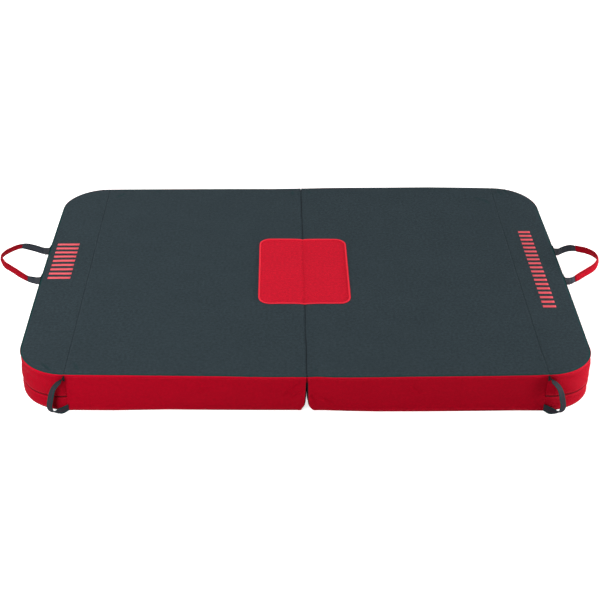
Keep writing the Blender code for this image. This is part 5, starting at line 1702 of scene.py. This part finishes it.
def wrapped_end(bar_start, bar_end, wrap):
    """Distance and height of webbing that comes over a bar, goes round it and lies back below."""
    around = bar_end + WRAP_GAP + WEB / 2
    bend = min(0.0018, wrap * 0.8)
    angles = np.linspace(0, math.pi / 2, 5)
    turn = [(around - bend * (1 - math.sin(angle)), wrap - bend * (1 - math.cos(angle))) for angle in angles]
    over = [(bar_start - WRAP_LEAD, wrap), (bar_start - WRAP_LEAD / 2, wrap), (bar_start, wrap), *turn]
    tail = [(bar_start - WRAP_TAIL * share, -wrap) for share in (0, 0.25, 0.5, 0.75, 1)]
    return over + [(s, -z) for s, z in reversed(turn)] + tail


def straight_web(name, start, way, points, width):
    """Webbing along a straight way, from points of distance and height."""
    start, way = np.array(start, float), np.array(way, float)
    route = np.array([start + way * s + np.array([0, 0, z]) for s, z in points])
    return band(name, route, (-way[1], way[0], 0), width, WEB, "webbing")


def lead_in(bar, wrap=WRAP_LUG, steps=12, sag=0.0004, waves=9):
    """Webbing lying on the hollow's ceiling, easing down towards its bar."""
    lead = CEILING - HARDWARE_Z
    stop = bar - 2 * WRAP_LEAD
    flat = [(stop * share, lead - sag * math.sin(share * waves)) for share in np.linspace(0, 1, steps)]
    ease = [(stop + WRAP_LEAD * s, lead + (wrap - lead) * smooth_step(0, 1, s)) for s in (0.25, 0.5, 0.75)]
    return flat + ease


def sewn_box(name, start, way, at, below, length, width, body):
    """A stitched box on the underside of webbing, at a distance along its way."""
    start, way = np.array(start, float), np.array(way, float)
    middle = start + way * at + np.array([0, 0, -below - WEB / 2 - 0.0001])
    lines = box_stitch(middle, way, (-way[1], way[0], 0), (0, 0, -1), length, width * 0.38)
    return stand_for(stitches(name, lines, "dark_thread", pitch=BOX_PITCH), body, "webbing")


def sewn_tail(name, start, way, bar, wrap, width, body):
    """The stitched box that holds a wrapped tail to its webbing."""
    sewn_box(name, start, way, bar - WRAP_TAIL * 0.62, wrap, WRAP_TAIL * 0.30, width, body)


def sewn_root(name, start, way, width, body):
    """The stitched box that holds a strap's root to the underside."""
    sewn_box(name, (start[0], start[1], CEILING), way, ROOT_AT, 0, ROOT_BOX, width, body)


for label, end in (("inner", -1), ("outer", 1)):
    # The padded strap, its binding and the webbing sewn along it.
    top_x, low_x = HARNESS_X + end * SHOULDER_TOP_X, HARNESS_X + end * SHOULDER_LOW_X
    top_y, end_y = PAD_DEPTH / 2 - SHOULDER_TOP, LOCK_Y + LOCK_LENGTH + SHOULDER_GAP
    pad_z = STRAP_HOLLOW - CLEAR - STRAP_DEEP / 2
    shares = np.linspace(0, 1, 70)
    route, widths, depths = [], [], []
    for share in shares:
        ease = (1 - math.cos(math.pi * share)) / 2
        filled = min(1.0, min(share, 1 - share) / 0.2)
        full = math.sin(math.pi / 2 * (0.35 + 0.65 * filled))
        route.append((top_x + (low_x - top_x) * ease, top_y + (end_y - top_y) * share, pad_z))
        widths.append(STRAP_NARROW + STRAP_SWELL * full)
        depths.append((WEB + (STRAP_DEEP - WEB) * full) * (1 + 0.03 * math.sin(share * 40)))
    route, widths, depths = np.array(route), np.array(widths), np.array(depths)
    pad = band(f"shoulder_pad_{label}", route, (1, 0, 0), widths, depths, "strap_cloth", SLEEVE_EDGE)
    stand_for(pad, "right_half", "strap_fabric", f"shoulder_strap_{label}")
    lines = []
    sides = unit(np.cross(ways_along(route), (0, 0, 1)))
    for edge in (-1, 1):
        for up in (-1, 1):
            offset = sides * edge * widths[:, None] * 0.45 + np.array([0, 0, up]) * depths[:, None] * 0.14
            lines.append(((route + offset)[1:-1], [(0, 0, up)] * (len(route) - 2)))
    threads = stitches(f"shoulder_pad_binding_stitching_{label}", lines, "dark_thread")
    stand_for(threads, "right_half", "strap_fabric")
    low = route + np.array([0, 0, -1]) * (depths / 2 + WEB / 2 + RUNNER_GAP)[:, None]
    runner = band(f"shoulder_webbing_{label}", low[3:-3], (1, 0, 0), RUNNER_WIDTH, WEB, "webbing")
    stand_for(runner, "right_half", "webbing")
    lines = []
    for edge in (-1, 1):
        offset = sides * edge * RUNNER_STITCH + np.array([0, 0, -WEB / 2])
        lines.append(((low + offset)[4:-4], [(0, 0, -1)] * (len(low) - 8)))
    threads = stitches(f"shoulder_webbing_stitching_{label}", lines, "dark_thread")
    stand_for(threads, "right_half", "webbing")
    reach = end_y - (LOCK_Y + LOCK_LENGTH)
    wrapped = [(s, z) for s, z in wrapped_end(reach, reach + LOCK_BAR, WRAP_LUG) if s > 0.002]
    points, start = [(0, pad_z - HARDWARE_Z), *wrapped], (low_x, end_y, HARDWARE_Z)
    tongue = straight_web(f"shoulder_tongue_{label}", start, (0, -1, 0), points, STRAP_WIDTH)
    stand_for(tongue, "right_half", "webbing")

    # The lower strap from its root to the lock.
    start, way = (low_x, BELT_Y + LOWER_ROOT, HARDWARE_Z), (0, 1, 0)
    bar = LOCK_Y - start[1]
    points = lead_in(bar) + wrapped_end(bar, bar + LOCK_BAR, WRAP_LUG)
    strap = straight_web(f"lower_strap_band_{label}", start, way, points, STRAP_WIDTH)
    stand_for(strap, "right_half", "webbing", f"lower_strap_{label}")
    sewn_root(f"lower_strap_root_stitching_{label}", start, way, STRAP_WIDTH, "right_half")
    sewn_tail(f"lower_strap_tail_stitching_{label}", start, way, bar, WRAP_LUG, STRAP_WIDTH, "right_half")

for label, end, body, bar_at in (
    ("inner", 1, "right_half", HARNESS_X - SOCKET_REACH - BUCKLE_BAR_AT),
    ("outer", -1, "buckle_release", HARNESS_X + CLEAR + PLUG_REACH + BUCKLE_BAR_AT),
):
    start, way = (HARNESS_X - end * BELT_ANCHOR, BELT_Y, HARDWARE_Z), (end, 0, 0)
    bar = abs(bar_at - start[0])
    points = lead_in(bar) + wrapped_end(bar, bar + BUCKLE_BAR, WRAP_LUG)
    belt = straight_web(f"waist_belt_band_{label}", start, way, points, BELT_WIDTH)
    stand_for(belt, body, "webbing", f"waist_belt_{label}")
    sewn_tail(f"waist_belt_stitching_{label}", start, way, bar, WRAP_LUG, BELT_WIDTH, body)
    sewn_root(f"waist_belt_root_stitching_{label}", start, way, BELT_WIDTH, body)

for label, end in (("front", -1), ("back", 1)):
    start, way = (CLOSURE_X, end * (PAD_DEPTH / 2 - CLOSURE_ROOT), HARDWARE_Z), (0, -end, 0)
    bar_start, bar_end = HOOK_REACH - HOOK_BAR / 2, HOOK_REACH + HOOK_BAR / 2
    wrap = HOOK_BAR * math.sqrt(2) / 2 + WRAP_GAP + WEB / 2
    points = lead_in(bar_start, wrap, 14, 0.0003, 11) + wrapped_end(bar_start, bar_end, wrap)
    strap = straight_web(f"closure_strap_band_{label}", start, way, points, CLOSURE_WIDTH)
    stand_for(strap, "right_half", "webbing", f"closure_strap_{label}")
    sewn_tail(f"closure_strap_stitching_{label}", start, way, bar_start, wrap, CLOSURE_WIDTH, "right_half")
    sewn_root(f"closure_root_stitching_{label}", start, way, CLOSURE_WIDTH, "right_half")


# Hardware keeps its shape from the part, with its edges eased.

HARDWARE = {
    "black_plastic": ("ladder_lock_inner", "ladder_lock_outer", "buckle_socket", "buckle_plug"),
    "aluminium": ("closure_hook_front", "closure_hook_back"),
    "painted_metal": ("zip_slider_left", "zip_slider_right", "zip_pull_left", "zip_pull_right"),
}
EDGE_EASE, EASED_FROM = 0.0004, math.radians(28)
for finish, names in HARDWARE.items():
    for name in names:
        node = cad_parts[name]
        node.data.materials.clear()
        node.data.materials.append(FINISHES[finish])
        eased = node.modifiers.new("eased_edges", "BEVEL")
        eased.width = EDGE_EASE
        eased.segments = 3
        eased.limit_method = "ANGLE"
        eased.angle_limit = EASED_FROM
        eased.harden_normals = True


# Foam inside the covers.


def foam_ring(side, z, inset, level):
    """A ring of a foam layer: the cover's outline at a level, drawn in by an inset and laid at a height."""
    sign, sheets = SIDES[side], cover_sheets_of[side]
    end_wall = "end_wall_lower" if level < ZIP_HEIGHT else "end_wall_upper"
    ring = []
    for label in ("front_wall", end_wall, "back_wall"):
        places = line_at_height(sheets[label], level, sign)[0][:-1:2]
        for x, y, _ in places:
            x, face = abs(x), math.copysign(1, y)
            past = np.array([max(0.0, x - SEAM_X), max(0.0, abs(y) - ARC_Y)])
            out = past / np.linalg.norm(past)
            if label != end_wall:
                out = np.array([-(1 - x / SEAM_X), 1.0])
            ring.append((sign * (x - out[0] * inset), y - face * out[1] * inset, z))
    return ring


def foam_slab(name, side, rings, finish, node):
    """A closed layer of foam through its rings, in its finish."""
    count = len(rings[0])
    vertices = [place for ring in rings for place in ring]
    faces = []
    for k in range(len(rings) - 1):
        for j in range(count):
            here, there = k * count + j, k * count + (j + 1) % count
            faces.append((here, there, there + count, here + count))
    faces.append(tuple(reversed(range(count))))
    faces.append(tuple(range((len(rings) - 1) * count, len(rings) * count)))
    mesh = mesh_of(name, vertices, faces)
    piece = linked(name, mesh, finish, smooth=False)
    turn_outwards(piece)
    mesh.shade_smooth()
    select_only(piece)
    bpy.ops.object.shade_smooth_by_angle(angle=math.radians(40))
    piece.select_set(False)
    return stand_for(piece, f"{side}_half", finish, node, rising=False)


FOAM_INSET = CLOTH + 0.0042
TOP_FOAM, BOTTOM_FOAM = 0.022, 0.025
FOAM_FLOOR = CLEAR + CLOTH + 0.0014
for side in SIDES:
    low_z, high_z = FOAM_FLOOR, FOAM_FLOOR + BOTTOM_FOAM
    rings = []
    if side == "right":
        for share, rise in HOLLOW_ROWS[4::-1]:
            depth = max(FOAM_INSET, share * STRAP_HOLLOW_REACH - 0.0020)
            rings.append(foam_ring(side, low_z + rise * STRAP_HOLLOW, depth, low_z))
    else:
        rings.append(foam_ring(side, low_z, FOAM_INSET, low_z))
    for z in (0.004, 0.008, 0.013, 0.019, high_z):
        rings.append(foam_ring(side, z, FOAM_INSET, z))
    foam_slab(f"lower_foam_{side}", side, rings, "closed_cell_foam", f"bottom_foam_{side}")
    top_low = SEAM_HEIGHT - CLOTH - CLEAR - TOP_FOAM
    heights = [high_z + 0.0006, 0.036, 0.046, 0.054, 0.070, 0.085, top_low - 0.0006]
    rings = [foam_ring(side, z, FOAM_INSET + 0.0003, z) for z in heights]
    foam_slab(f"middle_foam_{side}", side, rings, "open_cell_foam", f"core_foam_{side}")
    rings = [foam_ring(side, z, FOAM_INSET, z) for z in (top_low, 0.108, 0.115, 0.119)]
    for share, rise in ((0.02, -0.35), (0.06, 0.10), (0.15, 0.46), (0.31, 0.72), (0.61, 0.93), (1.0, 1.0)):
        depth = FOAM_INSET + share * CROWN_REACH
        rings.append(foam_ring(side, SEAM_HEIGHT + CROWN * rise - CLOTH - 0.0016, depth, SEAM_HEIGHT - 0.002))
    foam_slab(f"upper_foam_{side}", side, rings, "closed_cell_foam", f"top_foam_{side}")

low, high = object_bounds()
